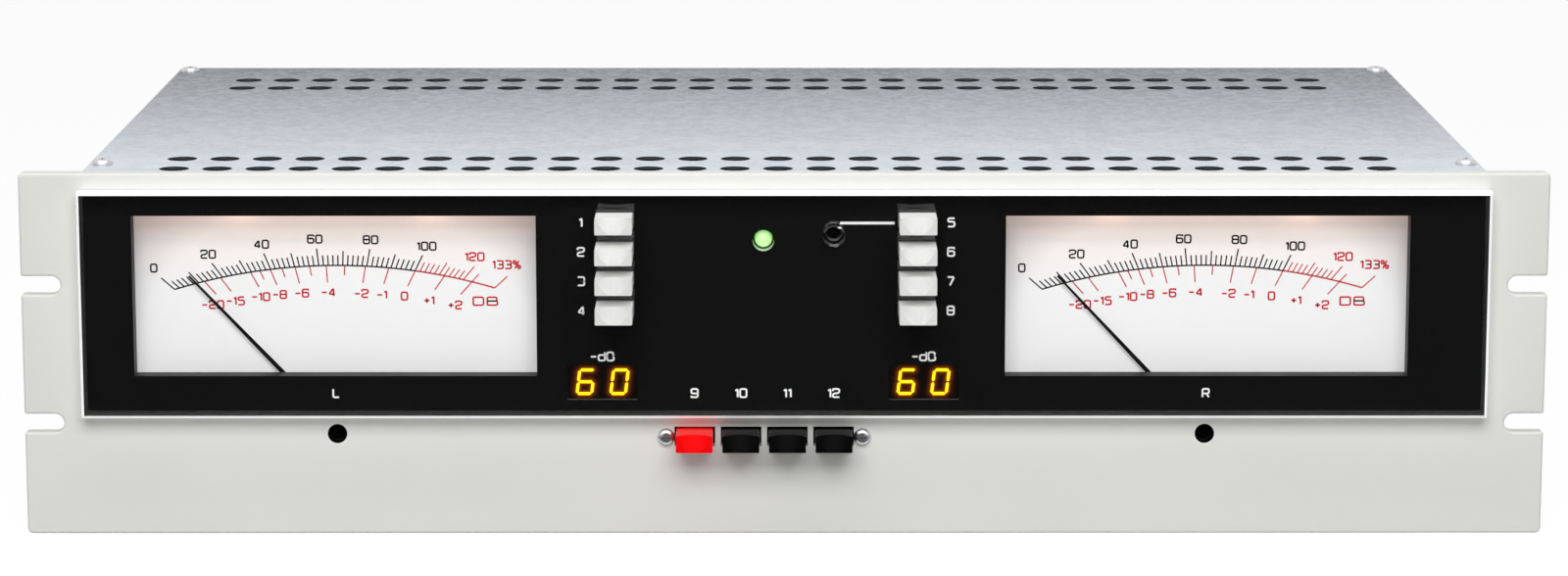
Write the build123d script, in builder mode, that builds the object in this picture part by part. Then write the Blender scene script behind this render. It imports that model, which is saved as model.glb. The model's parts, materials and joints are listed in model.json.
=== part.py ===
"""Rack-mounted stereo monitor with two pointer meters, push-button banks and two numeric displays.

Millimetres. X to the viewer's right, Y into the chassis, Z up. The origin is the centre of the four rack
slots, on the front panel's rear face.
"""
from build123d import *
from math import atan2, cos, degrees, hypot, radians, sin, tan
import os

os.makedirs("parts", exist_ok=True)

# Front panel
PANEL_W = 482.6
PANEL_H = 116.3
PANEL_T = 4.76
PANEL_CORNER_R = 1.8
PANEL_EDGE_R = 0.8
RACK_PITCH_Z = 44.45
RACK_SLOT_DEPTH = 12.5
RACK_SLOT_H = 5.93
RACK_MOUTH_R = 0.8

# Window plate and the mask film behind it
PLATE_W = 444.5
PLATE_T = 6.35
PLATE_ABOVE = 5.25
PLATE_BELOW = 38.75
PLATE_EDGE = 0.9
MASK_T = 0.25

# Chassis box
CHASSIS_W = 444.5
CHASSIS_D = 254.0
SHEET_T = 1.6
SHEET_GAP = 0.2
COVER_T = 1.0
TOP_STEP = 0.7
FOOT_STEP = 2.0
FLANGE_W = 12.0
END_FLANGE_W = 10.0
FIXING_PITCH_Z = 76.0
STUD_R = 1.95
STUD_L = 8.0
NUT_R = 3.6
NUT_T = 3.0

# Perforated covers
VENT_R = 4.75
VENT_PITCH_X = 13.7
VENT_PITCH_Y = 21.0
VENT_COLUMNS = 29
VENT_X = -2.0
VENT_FRONT_Y = 19.7
VENT_REAR_Y = 209.5
COVER_CORNER_R = 3.0
COVER_SCREW_INSET = 4.6
COVER_SCREW_FRONT_Y = 17.0
COVER_SCREW_REAR_Y = 242.0

# Pan screws: head radius, head height, shank radius and shank length
COVER_SCREW = (3.3, 2.0, 1.7, 6.0)
FRAME_SCREW = (3.3, 2.0, 1.7, 6.0)
BANK_SCREW = (2.7, 2.0, 1.4, 6.2)
METER_SCREW = (2.6, 1.8, 1.4, 5.6)
BOARD_SCREW = (2.6, 1.6, 1.4, 5.6)
HEAD_ROUNDING = 0.7
SCREW_GAP = 0.15
SCREW_BORE_EXTRA = 0.6
DRIVE_R = 1.1
DRIVE_W = 0.55
DRIVE_DEPTH = 1.1

# Meter cases and dials
METER_X = (-142.0, 133.5)
WINDOW_W = 127.4
WINDOW_ABOVE = 8.0
WINDOW_BELOW = 12.9
RIM_T = 1.8
RIM_GAP = 0.3
CASE_W = 135.0
CASE_ABOVE = 5.1
CASE_BELOW = 2.4
CASE_D = 44.0
CASE_WALL = 2.0
CASE_FRONT_T = 1.6
CASE_CORNER_R = 1.2
RIB_W = 3.0
BACK_T = 2.0
TERMINAL_PITCH = 40.0
TERMINAL_R = 2.0
TERMINAL_L = 10.0
EAR_W = 12.0
EAR_H = 5.5
EAR_T = 3.0
EAR_PITCH = 100.0
DIAL_Y = 4.74
DIAL_T = 0.8
DIAL_BELOW = 7.5
DIAL_GAP = 0.3

# Meter movements
PIVOT_BELOW = 19.1
NEEDLE_TIP_GAP = 2.1
NEEDLE_REST_DEG = 43.2
NEEDLE_DOWN_DEG = 8.0
NEEDLE_UP_DEG = 93.0
NEEDLE_Y = 3.0
NEEDLE_T = 0.5
NEEDLE_ROOT_W = 1.8
NEEDLE_TIP_W = 0.6
HUB_R = 2.2
HUB_Y = 2.7
HUB_T = 1.5
TAIL_LENGTH = 13.0
TAIL_R = 2.8
TAIL_T = 3.2
STOP_R = 0.6
STOP_L = 2.1
STOP_RADIUS = 24.0
STOP_MARGIN_DEG = 3.8
STAFF_R = 0.5
TURN_GAP = 0.05
MAGNET_SIZE = 34.0
MAGNET_D = 22.0
MAGNET_Y = 14.0
MAGNET_BORE_R = 10.0
LEG_W = 5.0
CORE_R = 6.8
CORE_L = 18.0
CORE_BAR = 3.0
COIL_T = 1.0
COIL_W = 3.0
COIL_R = 8.9
COIL_REACH = 3.1
BRIDGE_T = 1.5
BRIDGE_GAP = 3.5
BRIDGE_W = 6.0
BRIDGE_POST_Z = 14.0
POST_W = 4.0
ZERO_HOLE_R = 3.1
ZERO_SEAT_R = 2.9
ZERO_SEAT_D = 0.9
ZERO_HEAD_R = 2.6
ZERO_HEAD_T = 0.7
ZERO_HEAD_Y = 0.1
ZERO_SHANK_R = 1.3
ZERO_SHANK_L = 1.2
ZERO_SLOT_W = 0.6
ZERO_SLOT_D = 0.35
ZERO_PIN_R = 0.4
ZERO_PIN_L = 0.45
ZERO_PIN_OFFSET = 0.8
LAMP_R = 1.3
LAMP_L = 9.0
LAMP_PITCH = 60.0
LAMP_GAP = 0.25

# Push buttons and their switch banks
CAP_W = 11.65
CAP_H = 5.3
CAP_EDGE_R = 0.35
CAP_OUT = 13.0
DISH_DEPTH = 3.0
CAP_GAP = 0.3
BUTTON_TRAVEL = 4.0
LATCH_TRAVEL = 2.0
PLUNGER_W = 4.0
PLUNGER_H = 3.0
PLUNGER_GAP = 0.15
SOCKET_D = 6.0
BORE_GAP = 0.2
BORE_D = 20.5
BORE_SPARE = 1.0
UPPER_X = (-53.4, 41.8)
UPPER_BELOW_EDGE = 9.0
UPPER_PITCH = 9.4
UPPER_COUNT = 4
UPPER_CAP_REAR = -3.0
UPPER_CUTOUT_W = 13.4
UPPER_CUTOUT_END = 3.4
BANK_W = 14.0
BANK_D = 24.0
BANK_END = 4.7
LOWER_X = -6.4
LOWER_BELOW_PLATE = 7.1
LOWER_PITCH = 14.7
LOWER_COUNT = 4
LOWER_CAP_REAR = -2.0
LOWER_CUTOUT_W = 12.9
LOWER_CUTOUT_H = 6.3
LOWER_BANK_Y = 8.0
LOWER_BANK_W = 62.0
LOWER_BANK_H = 11.0
BRACKET_T = 1.5
BRACKET_W = 71.0
BRACKET_H = 13.0
BANK_SCREW_PITCH = 62.3
BANK_ARM_W = 3.0

# Displays, pilot lamp and phase trimmer
DISPLAY_X = (-57.6, 44.1)
DISPLAY_ABOVE_EDGE = 10.8
DISPLAY_W = 22.2
DISPLAY_H = 11.1
DISPLAY_Y = -3.5
DISPLAY_GAP = 0.3
DIGIT_PITCH = 10.7
DIGIT_H = 8.6
DIGIT_W = 5.6
DIGIT_LEAN = 7.0
SEGMENT_W = 0.95
SEGMENT_T = 0.2
SEGMENT_GAP = 0.12
PILOT_X = -6.6
PILOT_BELOW_EDGE = 15.9
PILOT_HOLE_R = 3.4
PILOT_R = 2.85
PILOT_TIP_Y = -3.2
PILOT_BACK_Y = 4.0
PILOT_LEAD_W = 0.6
PILOT_LEAD_PITCH = 2.54
PHASE_X = 15.6
PHASE_BELOW_EDGE = 13.7
PHASE_HOLE_R = 2.7
PHASE_SINK = 0.85
TRIMMER_W = 9.5
TRIMMER_T = 4.8
TRIMMER_GAP = 0.2
TRIMMER_HEAD_R = 2.4
TRIMMER_HEAD_T = 1.8
TRIMMER_SHANK_R = 1.2
TRIMMER_SHANK_L = 2.5
TRIMMER_BORE_D = 3.0
TRIMMER_SLOT_W = 0.7
TRIMMER_SLOT_D = 0.8

# Circuit boards
BOARD_T = 1.6
FRONT_BOARD_Y = 9.0
FRONT_BOARD_X = -4.5
FRONT_BOARD_W = 133.0
FRONT_BOARD_DROP = 2.9
FRONT_BOARD_RISE = 0.9
BOARD_SLOT_GAP = 0.5
STANDOFF_R = 2.8
STANDOFF_INSET = 4.2
LOWER_STANDOFF_PITCH = 66.0
MAIN_BOARD_X = 60.0
MAIN_BOARD_Y = 150.0
MAIN_BOARD_W = 250.0
MAIN_BOARD_D = 140.0
MAIN_STANDOFF_L = 8.0
CHIP_L = 20.0
CHIP_W = 7.0
CHIP_H = 4.5
HEADER_W = 28.0
HEADER_T = 8.0
HEADER_H = 7.0
RIBBON_W = 25.0
RIBBON_T = 1.2
RIBBON_R = 8.0
RIBBON_DROP = 2.4

# Deck and power parts
DECK_Y = 64.0
DECK_RISE = 7.15
DECK_LIP = 12.0
DECK_SCREW_UP = 6.0
DECK_SCREW_IN = 20.0
TRANSFORMER_X = -150.0
TRANSFORMER_Y = 190.0
STACK_W = 66.0
STACK_H = 55.0
STACK_D = 28.0
LIMB_W = 11.0
WINDING_D = 48.0
WINDING_GAP = 0.4
CAPACITOR_R = 11.0
CAPACITOR_H = 40.0
CAPACITOR_PITCH = 28.0
CAPACITOR_SIDE = 43.0
CAPACITOR_INSET = 30.0
SINK_X = -55.0
SINK_W = 60.0
SINK_H = 50.0
SINK_BASE_T = 4.0
SINK_D = 18.0
FIN_COUNT = 7
FIN_T = 1.6

# Rear fittings
REAR_Z = 0.0
JACK_X = (80.0, 110.0, 140.0)
JACK_R = 4.8
JACK_L = 11.0
JACK_BORE_R = 3.6
JACK_BORE_D = 8.0
JACK_PIN_R = 0.7
JACK_FLANGE_R = 7.0
JACK_FLANGE_T = 2.0
JACK_INSIDE = 8.0
JACK_LUG_R = 1.0
JACK_LUG_L = 0.9
JACK_LUG_IN = 5.0
FITTING_GAP = 0.15
FITTING_NUT_T = 3.0
STRIP_X = 25.0
STRIP_WAYS = 6
STRIP_PITCH = 9.5
STRIP_H = 22.0
STRIP_D = 12.0
STRIP_POCKET_W = 8.0
STRIP_POCKET_H = 18.0
STRIP_POCKET_D = 7.0
STRIP_SCREW_R = 2.8
STRIP_SCREW_H = 2.0
INLET_X = -180.0
INLET_W = 27.0
INLET_H = 20.0
INLET_D = 18.0
INLET_WALL = 1.2
INLET_CAVITY_D = 15.5
INLET_CORNER = 5.0
INLET_FLANGE_W = 50.0
INLET_FLANGE_H = 22.5
INLET_FLANGE_T = 2.5
INLET_SCREW_PITCH = 40.0
INLET_PIN_W = 2.0
INLET_PIN_H = 4.0
INLET_PIN_PITCH = 7.0
INLET_PIN_Z = -3.0
INLET_PIN_L = 12.0
FUSE_X = -120.0
FUSE_BODY_R = 6.3
FUSE_FLANGE_R = 8.5
FUSE_FLANGE_T = 2.0
FUSE_BORE_R = 4.2
FUSE_BORE_D = 24.0
FUSE_D = 28.0
FUSE_CAP_R = 6.5
FUSE_CAP_L = 9.0
FUSE_CAP_GAP = 0.3
FUSE_NECK_L = 14.0
FUSE_GRIPS = 12
FUSE_GRIP_R = 0.6

# Places worked out from the sizes above
CORNERS = [(side, up) for side in (-1, 1) for up in (-1, 1)]
PANEL_FRONT = -PANEL_T
MASK_FRONT = PANEL_FRONT - MASK_T
PLATE_FRONT = MASK_FRONT - PLATE_T
PLATE_TOP = PANEL_H / 2 - PLATE_ABOVE
PLATE_BOTTOM = -PANEL_H / 2 + PLATE_BELOW
PLATE_H = PLATE_TOP - PLATE_BOTTOM
PLATE_Z = (PLATE_TOP + PLATE_BOTTOM) / 2
WINDOW_TOP = PLATE_TOP - WINDOW_ABOVE
WINDOW_BOTTOM = PLATE_BOTTOM + WINDOW_BELOW
WINDOW_H = WINDOW_TOP - WINDOW_BOTTOM
WINDOW_Z = (WINDOW_TOP + WINDOW_BOTTOM) / 2
TOP_COVER_Z = PANEL_H / 2 - TOP_STEP - COVER_T
BOTTOM_COVER_Z = -PANEL_H / 2 + FOOT_STEP
SIDE_TOP = TOP_COVER_Z
SIDE_BOTTOM = BOTTOM_COVER_Z + COVER_T
SIDE_H = SIDE_TOP - SIDE_BOTTOM
SIDE_Z = (SIDE_TOP + SIDE_BOTTOM) / 2
INSIDE_W = CHASSIS_W - 2 * SHEET_T - 2 * SHEET_GAP
INSIDE_H = SIDE_H - 2 * SHEET_T - 2 * SHEET_GAP
FIXING_X = CHASSIS_W / 2 - SHEET_T - END_FLANGE_W / 2
FIXINGS = [(side * FIXING_X, SIDE_Z + up * FIXING_PITCH_Z / 2) for side, up in CORNERS]
COVER_SCREW_X = CHASSIS_W / 2 - COVER_SCREW_INSET
COVER_FIXINGS = [
    (side * COVER_SCREW_X, y) for side in (-1, 1) for y in (COVER_SCREW_FRONT_Y, COVER_SCREW_REAR_Y)
]
REAR_INNER = CHASSIS_D - SHEET_T
DECK_Z = SIDE_BOTTOM + DECK_RISE
DECK_END = REAR_INNER - 2 * SHEET_T
DECK_SCREW_Z = DECK_Z + DECK_SCREW_UP
DECK_SCREW_Y = (DECK_Y + DECK_SCREW_IN, DECK_END - DECK_SCREW_IN)
PIVOT_Z = WINDOW_BOTTOM - PIVOT_BELOW
NEEDLE_LENGTH = WINDOW_TOP - NEEDLE_TIP_GAP - PIVOT_Z
CASE_TOP = WINDOW_TOP + CASE_ABOVE
CASE_BOTTOM = PIVOT_Z - MAGNET_SIZE / 2 - CASE_BELOW
CASE_H = CASE_TOP - CASE_BOTTOM
CASE_Z = (CASE_TOP + CASE_BOTTOM) / 2
CASE_IN_W = CASE_W - 2 * CASE_WALL
EAR_Z = (CASE_BOTTOM - EAR_H / 2, CASE_TOP + EAR_H / 2)
EARS = [(x + side * EAR_PITCH / 2, z) for x in METER_X for side in (-1, 1) for z in EAR_Z]
DIAL_TOP = CASE_TOP - CASE_WALL - DIAL_GAP
DIAL_BOTTOM = WINDOW_BOTTOM - DIAL_BELOW
MAGNET_END = MAGNET_Y + MAGNET_D
COIL_FRONT = MAGNET_Y + MAGNET_D / 2 - CORE_L / 2 - COIL_REACH
COIL_END = MAGNET_Y + MAGNET_D / 2 + CORE_L / 2 + COIL_REACH
UPPER_ROWS = [PLATE_TOP - UPPER_BELOW_EDGE - row * UPPER_PITCH for row in range(UPPER_COUNT)]
UPPER_SPAN = UPPER_ROWS[0] - UPPER_ROWS[-1]
UPPER_Z = (UPPER_ROWS[0] + UPPER_ROWS[-1]) / 2
UPPER_CAPS = [(x, z) for x in UPPER_X for z in UPPER_ROWS]
UPPER_CAP_FRONT = PLATE_FRONT - CAP_OUT
LOWER_CAP_FRONT = PANEL_FRONT - CAP_OUT
LOWER_Z = PLATE_BOTTOM - LOWER_BELOW_PLATE
LOWER_COLUMNS = [LOWER_X + (i - (LOWER_COUNT - 1) / 2) * LOWER_PITCH for i in range(LOWER_COUNT)]
LOWER_CAPS = [(x, LOWER_Z) for x in LOWER_COLUMNS]
BANK_SCREWS = [(LOWER_X + side * BANK_SCREW_PITCH / 2, LOWER_Z) for side in (-1, 1)]
DISPLAY_Z = PLATE_BOTTOM + DISPLAY_ABOVE_EDGE
PILOT_Z = PLATE_TOP - PILOT_BELOW_EDGE
PHASE_Z = PLATE_TOP - PHASE_BELOW_EDGE
BOARD_BACK = FRONT_BOARD_Y + BOARD_T
FRONT_BOARD_TOP = PLATE_TOP - FRONT_BOARD_DROP
FRONT_BOARD_BOTTOM = PLATE_BOTTOM + FRONT_BOARD_RISE
RIBBON_Z = DISPLAY_Z - RIBBON_DROP
FRONT_BOARD_Z = (FRONT_BOARD_TOP + FRONT_BOARD_BOTTOM) / 2
FRONT_BOARD_H = FRONT_BOARD_TOP - FRONT_BOARD_BOTTOM
UPPER_STANDOFF_X = FRONT_BOARD_W / 2 - STANDOFF_INSET
FRONT_STANDOFFS = [
    (FRONT_BOARD_X + side * (UPPER_STANDOFF_X if up > 0 else LOWER_STANDOFF_PITCH / 2),
     FRONT_BOARD_Z + up * (FRONT_BOARD_H / 2 - STANDOFF_INSET))
    for side, up in CORNERS
]
MAIN_BOARD_Z = DECK_Z + MAIN_STANDOFF_L
MAIN_BOARD_TOP = MAIN_BOARD_Z + BOARD_T
MAIN_STANDOFFS = [
    (MAIN_BOARD_X + side * (MAIN_BOARD_W / 2 - STANDOFF_INSET),
     MAIN_BOARD_Y + up * (MAIN_BOARD_D / 2 - STANDOFF_INSET))
    for side, up in CORNERS
]
CAPACITOR_X = MAIN_BOARD_X - MAIN_BOARD_W / 2 + CAPACITOR_SIDE
CAPACITOR_Y = MAIN_BOARD_Y + MAIN_BOARD_D / 2 - CAPACITOR_INSET
HEADER_Y = MAIN_BOARD_Y - MAIN_BOARD_D / 2 + HEADER_T
INLET_SCREWS = [(INLET_X + side * INLET_SCREW_PITCH / 2, REAR_Z) for side in (-1, 1)]
DIGIT_NODES = {"left": -(DIGIT_W - SEGMENT_W) / 2, "right": (DIGIT_W - SEGMENT_W) / 2,
               "top": (DIGIT_H - SEGMENT_W) / 2, "middle": 0.0, "bottom": -(DIGIT_H - SEGMENT_W) / 2}
SEGMENTS = {
    "a": ("left", "top", "right", "top"),
    "b": ("right", "top", "right", "middle"),
    "c": ("right", "middle", "right", "bottom"),
    "d": ("left", "bottom", "right", "bottom"),
    "e": ("left", "middle", "left", "bottom"),
    "f": ("left", "top", "left", "middle"),
    "g": ("left", "middle", "right", "middle"),
}
LIT = ("acdefg", "abcdef")


def facing(y):
    """Plane at depth y that looks at the front: local x runs right and local y runs up."""
    return Plane.XZ.offset(-y)


def looking_back(y):
    """Plane at depth y that looks at the rear: local x runs left and local y runs up."""
    return Plane(origin=(0, y, 0), x_dir=(-1, 0, 0), z_dir=(0, 1, 0))


def save(name, part):
    """Label a finished piece and write it under its own name."""
    part.label = name
    export_step(part, f"parts/{name}.step")


def pan_screws(plane, places, size):
    """Pan screws with a cross recess: the heads rest on the plane and the shanks run behind it."""
    head_r, head_h, shank_r, shank_l = size
    with BuildPart() as screws:
        with BuildSketch(plane):
            with Locations(*places):
                Circle(head_r)
        extrude(amount=head_h)
        crowns = screws.edges().filter_by(GeomType.CIRCLE).group_by(Axis(plane.origin, plane.z_dir))[-1]
        fillet(crowns, head_h * HEAD_ROUNDING)
        with BuildSketch(plane):
            with Locations(*places):
                Circle(shank_r)
        extrude(amount=-shank_l)
        with BuildSketch(plane.offset(head_h)):
            with Locations(*places):
                Rectangle(2 * DRIVE_R, DRIVE_W)
                Rectangle(DRIVE_W, 2 * DRIVE_R)
        extrude(amount=-DRIVE_DEPTH, mode=Mode.SUBTRACT)
    return screws.part


# Front panel with open rack slots and every hole that its fittings need
with BuildPart() as front_panel:
    with BuildSketch(facing(0)) as panel_face:
        RectangleRounded(PANEL_W, PANEL_H, PANEL_CORNER_R)
        with Locations(*[(side * PANEL_W / 2, up * RACK_PITCH_Z / 2) for side, up in CORNERS]):
            SlotOverall(2 * RACK_SLOT_DEPTH, RACK_SLOT_H, mode=Mode.SUBTRACT)
        mouths = panel_face.vertices().filter_by(
            lambda v: abs(abs(v.X) - PANEL_W / 2) < 0.01 and abs(v.Y) < RACK_PITCH_Z / 2 + RACK_SLOT_H
        )
        fillet(mouths, RACK_MOUTH_R)
        with Locations(*[(x, WINDOW_Z) for x in METER_X]):
            rim_space = 2 * (RIM_T + RIM_GAP)
            Rectangle(WINDOW_W + rim_space, WINDOW_H + rim_space, mode=Mode.SUBTRACT)
        with Locations(*[(x, PIVOT_Z) for x in METER_X]):
            Circle(ZERO_HOLE_R, mode=Mode.SUBTRACT)
        with Locations(*[(x, UPPER_Z) for x in UPPER_X]):
            Rectangle(UPPER_CUTOUT_W, UPPER_SPAN + 2 * UPPER_CUTOUT_END, mode=Mode.SUBTRACT)
        with Locations(*LOWER_CAPS):
            Rectangle(LOWER_CUTOUT_W, LOWER_CUTOUT_H, mode=Mode.SUBTRACT)
        with Locations(*BANK_SCREWS):
            Circle(BANK_SCREW[2] + SCREW_GAP, mode=Mode.SUBTRACT)
        with Locations(*[(x, DISPLAY_Z) for x in DISPLAY_X]):
            Rectangle(DISPLAY_W + 2 * DISPLAY_GAP, DISPLAY_H + 2 * DISPLAY_GAP, mode=Mode.SUBTRACT)
        with Locations((PILOT_X, PILOT_Z)):
            Circle(PILOT_HOLE_R, mode=Mode.SUBTRACT)
        with Locations((PHASE_X, PHASE_Z)):
            Circle(PHASE_HOLE_R, mode=Mode.SUBTRACT)
    extrude(amount=PANEL_T)
    outline = front_panel.faces().sort_by(Axis.Y)[0].outer_wire().edges()
    fillet(outline, PANEL_EDGE_R)
    with BuildSketch(facing(0)):
        with Locations(*EARS):
            Circle(METER_SCREW[2] + SCREW_GAP)
    extrude(amount=METER_SCREW[3] - EAR_T + SCREW_BORE_EXTRA, mode=Mode.SUBTRACT)
    with BuildSketch(facing(0)):
        with Locations(*FIXINGS):
            Circle(STUD_R)
    extrude(amount=-STUD_L)
save("front_panel", front_panel.part)

# Black film on the panel, open at the windows and holes
with BuildPart() as window_mask:
    with BuildSketch(facing(PANEL_FRONT)):
        with Locations((0, PLATE_Z)):
            Rectangle(PLATE_W, PLATE_H)
        with Locations(*[(x, WINDOW_Z) for x in METER_X]):
            Rectangle(WINDOW_W, WINDOW_H, mode=Mode.SUBTRACT)
        with Locations(*UPPER_CAPS):
            Rectangle(CAP_W + 2 * CAP_GAP, CAP_H + 2 * CAP_GAP, mode=Mode.SUBTRACT)
        with Locations(*[(x, DISPLAY_Z) for x in DISPLAY_X]):
            Rectangle(DISPLAY_W, DISPLAY_H, mode=Mode.SUBTRACT)
        with Locations((PILOT_X, PILOT_Z)):
            Circle(PILOT_HOLE_R, mode=Mode.SUBTRACT)
        with Locations((PHASE_X, PHASE_Z)):
            Circle(PHASE_HOLE_R, mode=Mode.SUBTRACT)
    extrude(amount=MASK_T)
save("window_mask", window_mask.part)

# Clear plate over the film, with chamfered edges and holes for the caps and the screwdriver
with BuildPart() as window_plate:
    with BuildSketch(facing(MASK_FRONT)):
        with Locations((0, PLATE_Z)):
            Rectangle(PLATE_W, PLATE_H)
        with Locations(*UPPER_CAPS):
            Rectangle(CAP_W + 2 * CAP_GAP, CAP_H + 2 * CAP_GAP, mode=Mode.SUBTRACT)
        with Locations((PHASE_X, PHASE_Z)):
            Circle(PHASE_HOLE_R, mode=Mode.SUBTRACT)
    extrude(amount=PLATE_T)
    front_face = window_plate.faces().sort_by(Axis.Y)[0]
    chamfer(front_face.outer_wire().edges(), PLATE_EDGE)
    sink = window_plate.faces().sort_by(Axis.Y)[0].edges().filter_by(GeomType.CIRCLE)
    chamfer(sink, PHASE_SINK)
save("window_plate", window_plate.part)


def side_channel(side):
    """Folded side wall: web, top and bottom flanges, and a flange at each end for the panels."""
    with BuildPart() as channel:
        with BuildSketch(facing(CHASSIS_D)):
            with Locations((side * (CHASSIS_W - SHEET_T) / 2, SIDE_Z)):
                Rectangle(SHEET_T, SIDE_H)
            with Locations(*[
                (side * (CHASSIS_W - FLANGE_W) / 2, SIDE_Z + up * (SIDE_H - SHEET_T) / 2) for up in (-1, 1)
            ]):
                Rectangle(FLANGE_W, SHEET_T)
        extrude(amount=CHASSIS_D)
        for back in (SHEET_T, REAR_INNER):
            with BuildSketch(facing(back)):
                with Locations((side * FIXING_X, SIDE_Z)):
                    Rectangle(END_FLANGE_W, SIDE_H - 2 * SHEET_T)
                with Locations(*[place for place in FIXINGS if place[0] * side > 0]):
                    Circle(STUD_R + SCREW_GAP, mode=Mode.SUBTRACT)
            extrude(amount=SHEET_T)
        with BuildSketch(Plane.XY.offset(SIDE_BOTTOM)):
            with Locations(*[place for place in COVER_FIXINGS if place[0] * side > 0]):
                Circle(COVER_SCREW[2] + SCREW_GAP)
        extrude(amount=SIDE_H, mode=Mode.SUBTRACT)
        with BuildSketch(Plane.YZ.offset(side * (CHASSIS_W - SHEET_T) / 2)):
            with Locations(*[(y, DECK_SCREW_Z) for y in DECK_SCREW_Y]):
                Circle(FRAME_SCREW[2] + SCREW_GAP)
        extrude(amount=SHEET_T, both=True, mode=Mode.SUBTRACT)
    return channel.part


save("left_side", side_channel(-1))
save("right_side", side_channel(1))


def perforated_cover(z):
    """Flat cover sheet whose lower face is at z, with two rows of vent holes near each end."""
    with BuildPart() as cover:
        with BuildSketch(Plane.XY.offset(z)) as sheet:
            with Locations((0, CHASSIS_D / 2)):
                Rectangle(CHASSIS_W, CHASSIS_D)
            fillet(sheet.vertices().group_by(Axis.Y)[-1], COVER_CORNER_R)
            with Locations((VENT_X, VENT_FRONT_Y), (VENT_X, VENT_REAR_Y)):
                with GridLocations(VENT_PITCH_X, VENT_PITCH_Y, VENT_COLUMNS, 2):
                    Circle(VENT_R, mode=Mode.SUBTRACT)
            with Locations(*COVER_FIXINGS):
                Circle(COVER_SCREW[2] + SCREW_GAP, mode=Mode.SUBTRACT)
        extrude(amount=COVER_T)
    return cover.part


save("top_cover", perforated_cover(TOP_COVER_Z))
save("bottom_cover", perforated_cover(BOTTOM_COVER_Z))

# The four bottom screws are the feet: their heads reach the panel's lower edge
with BuildPart() as cover_screws:
    add(pan_screws(Plane.XY.offset(TOP_COVER_Z + COVER_T), COVER_FIXINGS, COVER_SCREW))
    below = Plane(origin=(0, 0, BOTTOM_COVER_Z), x_dir=(-1, 0, 0), z_dir=(0, 0, -1))
    add(pan_screws(below, [(-x, y) for x, y in COVER_FIXINGS], COVER_SCREW))
save("cover_screws", cover_screws.part)

# Rear panel between the side channels
with BuildPart() as rear_panel:
    with BuildSketch(facing(CHASSIS_D)):
        with Locations((0, SIDE_Z)):
            Rectangle(INSIDE_W, INSIDE_H)
        with Locations(*FIXINGS, *INLET_SCREWS):
            Circle(FRAME_SCREW[2] + SCREW_GAP, mode=Mode.SUBTRACT)
        with Locations(*[(x, REAR_Z) for x in JACK_X]):
            Circle(JACK_R + FITTING_GAP, mode=Mode.SUBTRACT)
        with Locations((FUSE_X, REAR_Z)):
            Circle(FUSE_BODY_R + FITTING_GAP, mode=Mode.SUBTRACT)
        with Locations((INLET_X, REAR_Z)):
            Rectangle(INLET_W + 2 * FITTING_GAP, INLET_H + 2 * FITTING_GAP, mode=Mode.SUBTRACT)
    extrude(amount=SHEET_T)
save("rear_panel", rear_panel.part)

# Deck across the chassis that carries the main board and the transformer
with BuildPart() as deck:
    with BuildSketch(facing(DECK_END)):
        with Locations((0, DECK_Z - SHEET_T / 2)):
            Rectangle(INSIDE_W, SHEET_T)
        with Locations(*[(side * (INSIDE_W - SHEET_T) / 2, DECK_Z + DECK_LIP / 2) for side in (-1, 1)]):
            Rectangle(SHEET_T, DECK_LIP)
    extrude(amount=DECK_END - DECK_Y)
    with BuildSketch(Plane.YZ):
        with Locations(*[(y, DECK_SCREW_Z) for y in DECK_SCREW_Y]):
            Circle(FRAME_SCREW[2] + SCREW_GAP)
    extrude(amount=CHASSIS_W / 2, both=True, mode=Mode.SUBTRACT)
save("deck", deck.part)

# Screws of the rear panel, the deck and the power inlet
with BuildPart() as frame_screws:
    add(pan_screws(looking_back(CHASSIS_D), FIXINGS, FRAME_SCREW))
    inlet_face = looking_back(CHASSIS_D + INLET_FLANGE_T)
    add(pan_screws(inlet_face, [(-x, z) for x, z in INLET_SCREWS], FRAME_SCREW))
    right_wall = Plane.YZ.offset(CHASSIS_W / 2)
    add(pan_screws(right_wall, [(y, DECK_SCREW_Z) for y in DECK_SCREW_Y], FRAME_SCREW))
    left_wall = Plane(origin=(-CHASSIS_W / 2, 0, 0), x_dir=(0, -1, 0), z_dir=(-1, 0, 0))
    add(pan_screws(left_wall, [(-y, DECK_SCREW_Z) for y in DECK_SCREW_Y], FRAME_SCREW))
save("frame_screws", frame_screws.part)

# Nuts that hold the side channels on the front panel's studs
with BuildPart() as panel_nuts:
    with BuildSketch(facing(SHEET_T + NUT_T)):
        with Locations(*FIXINGS):
            RegularPolygon(NUT_R, 6)
            Circle(STUD_R + SCREW_GAP, mode=Mode.SUBTRACT)
    extrude(amount=NUT_T)
save("panel_nuts", panel_nuts.part)


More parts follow.
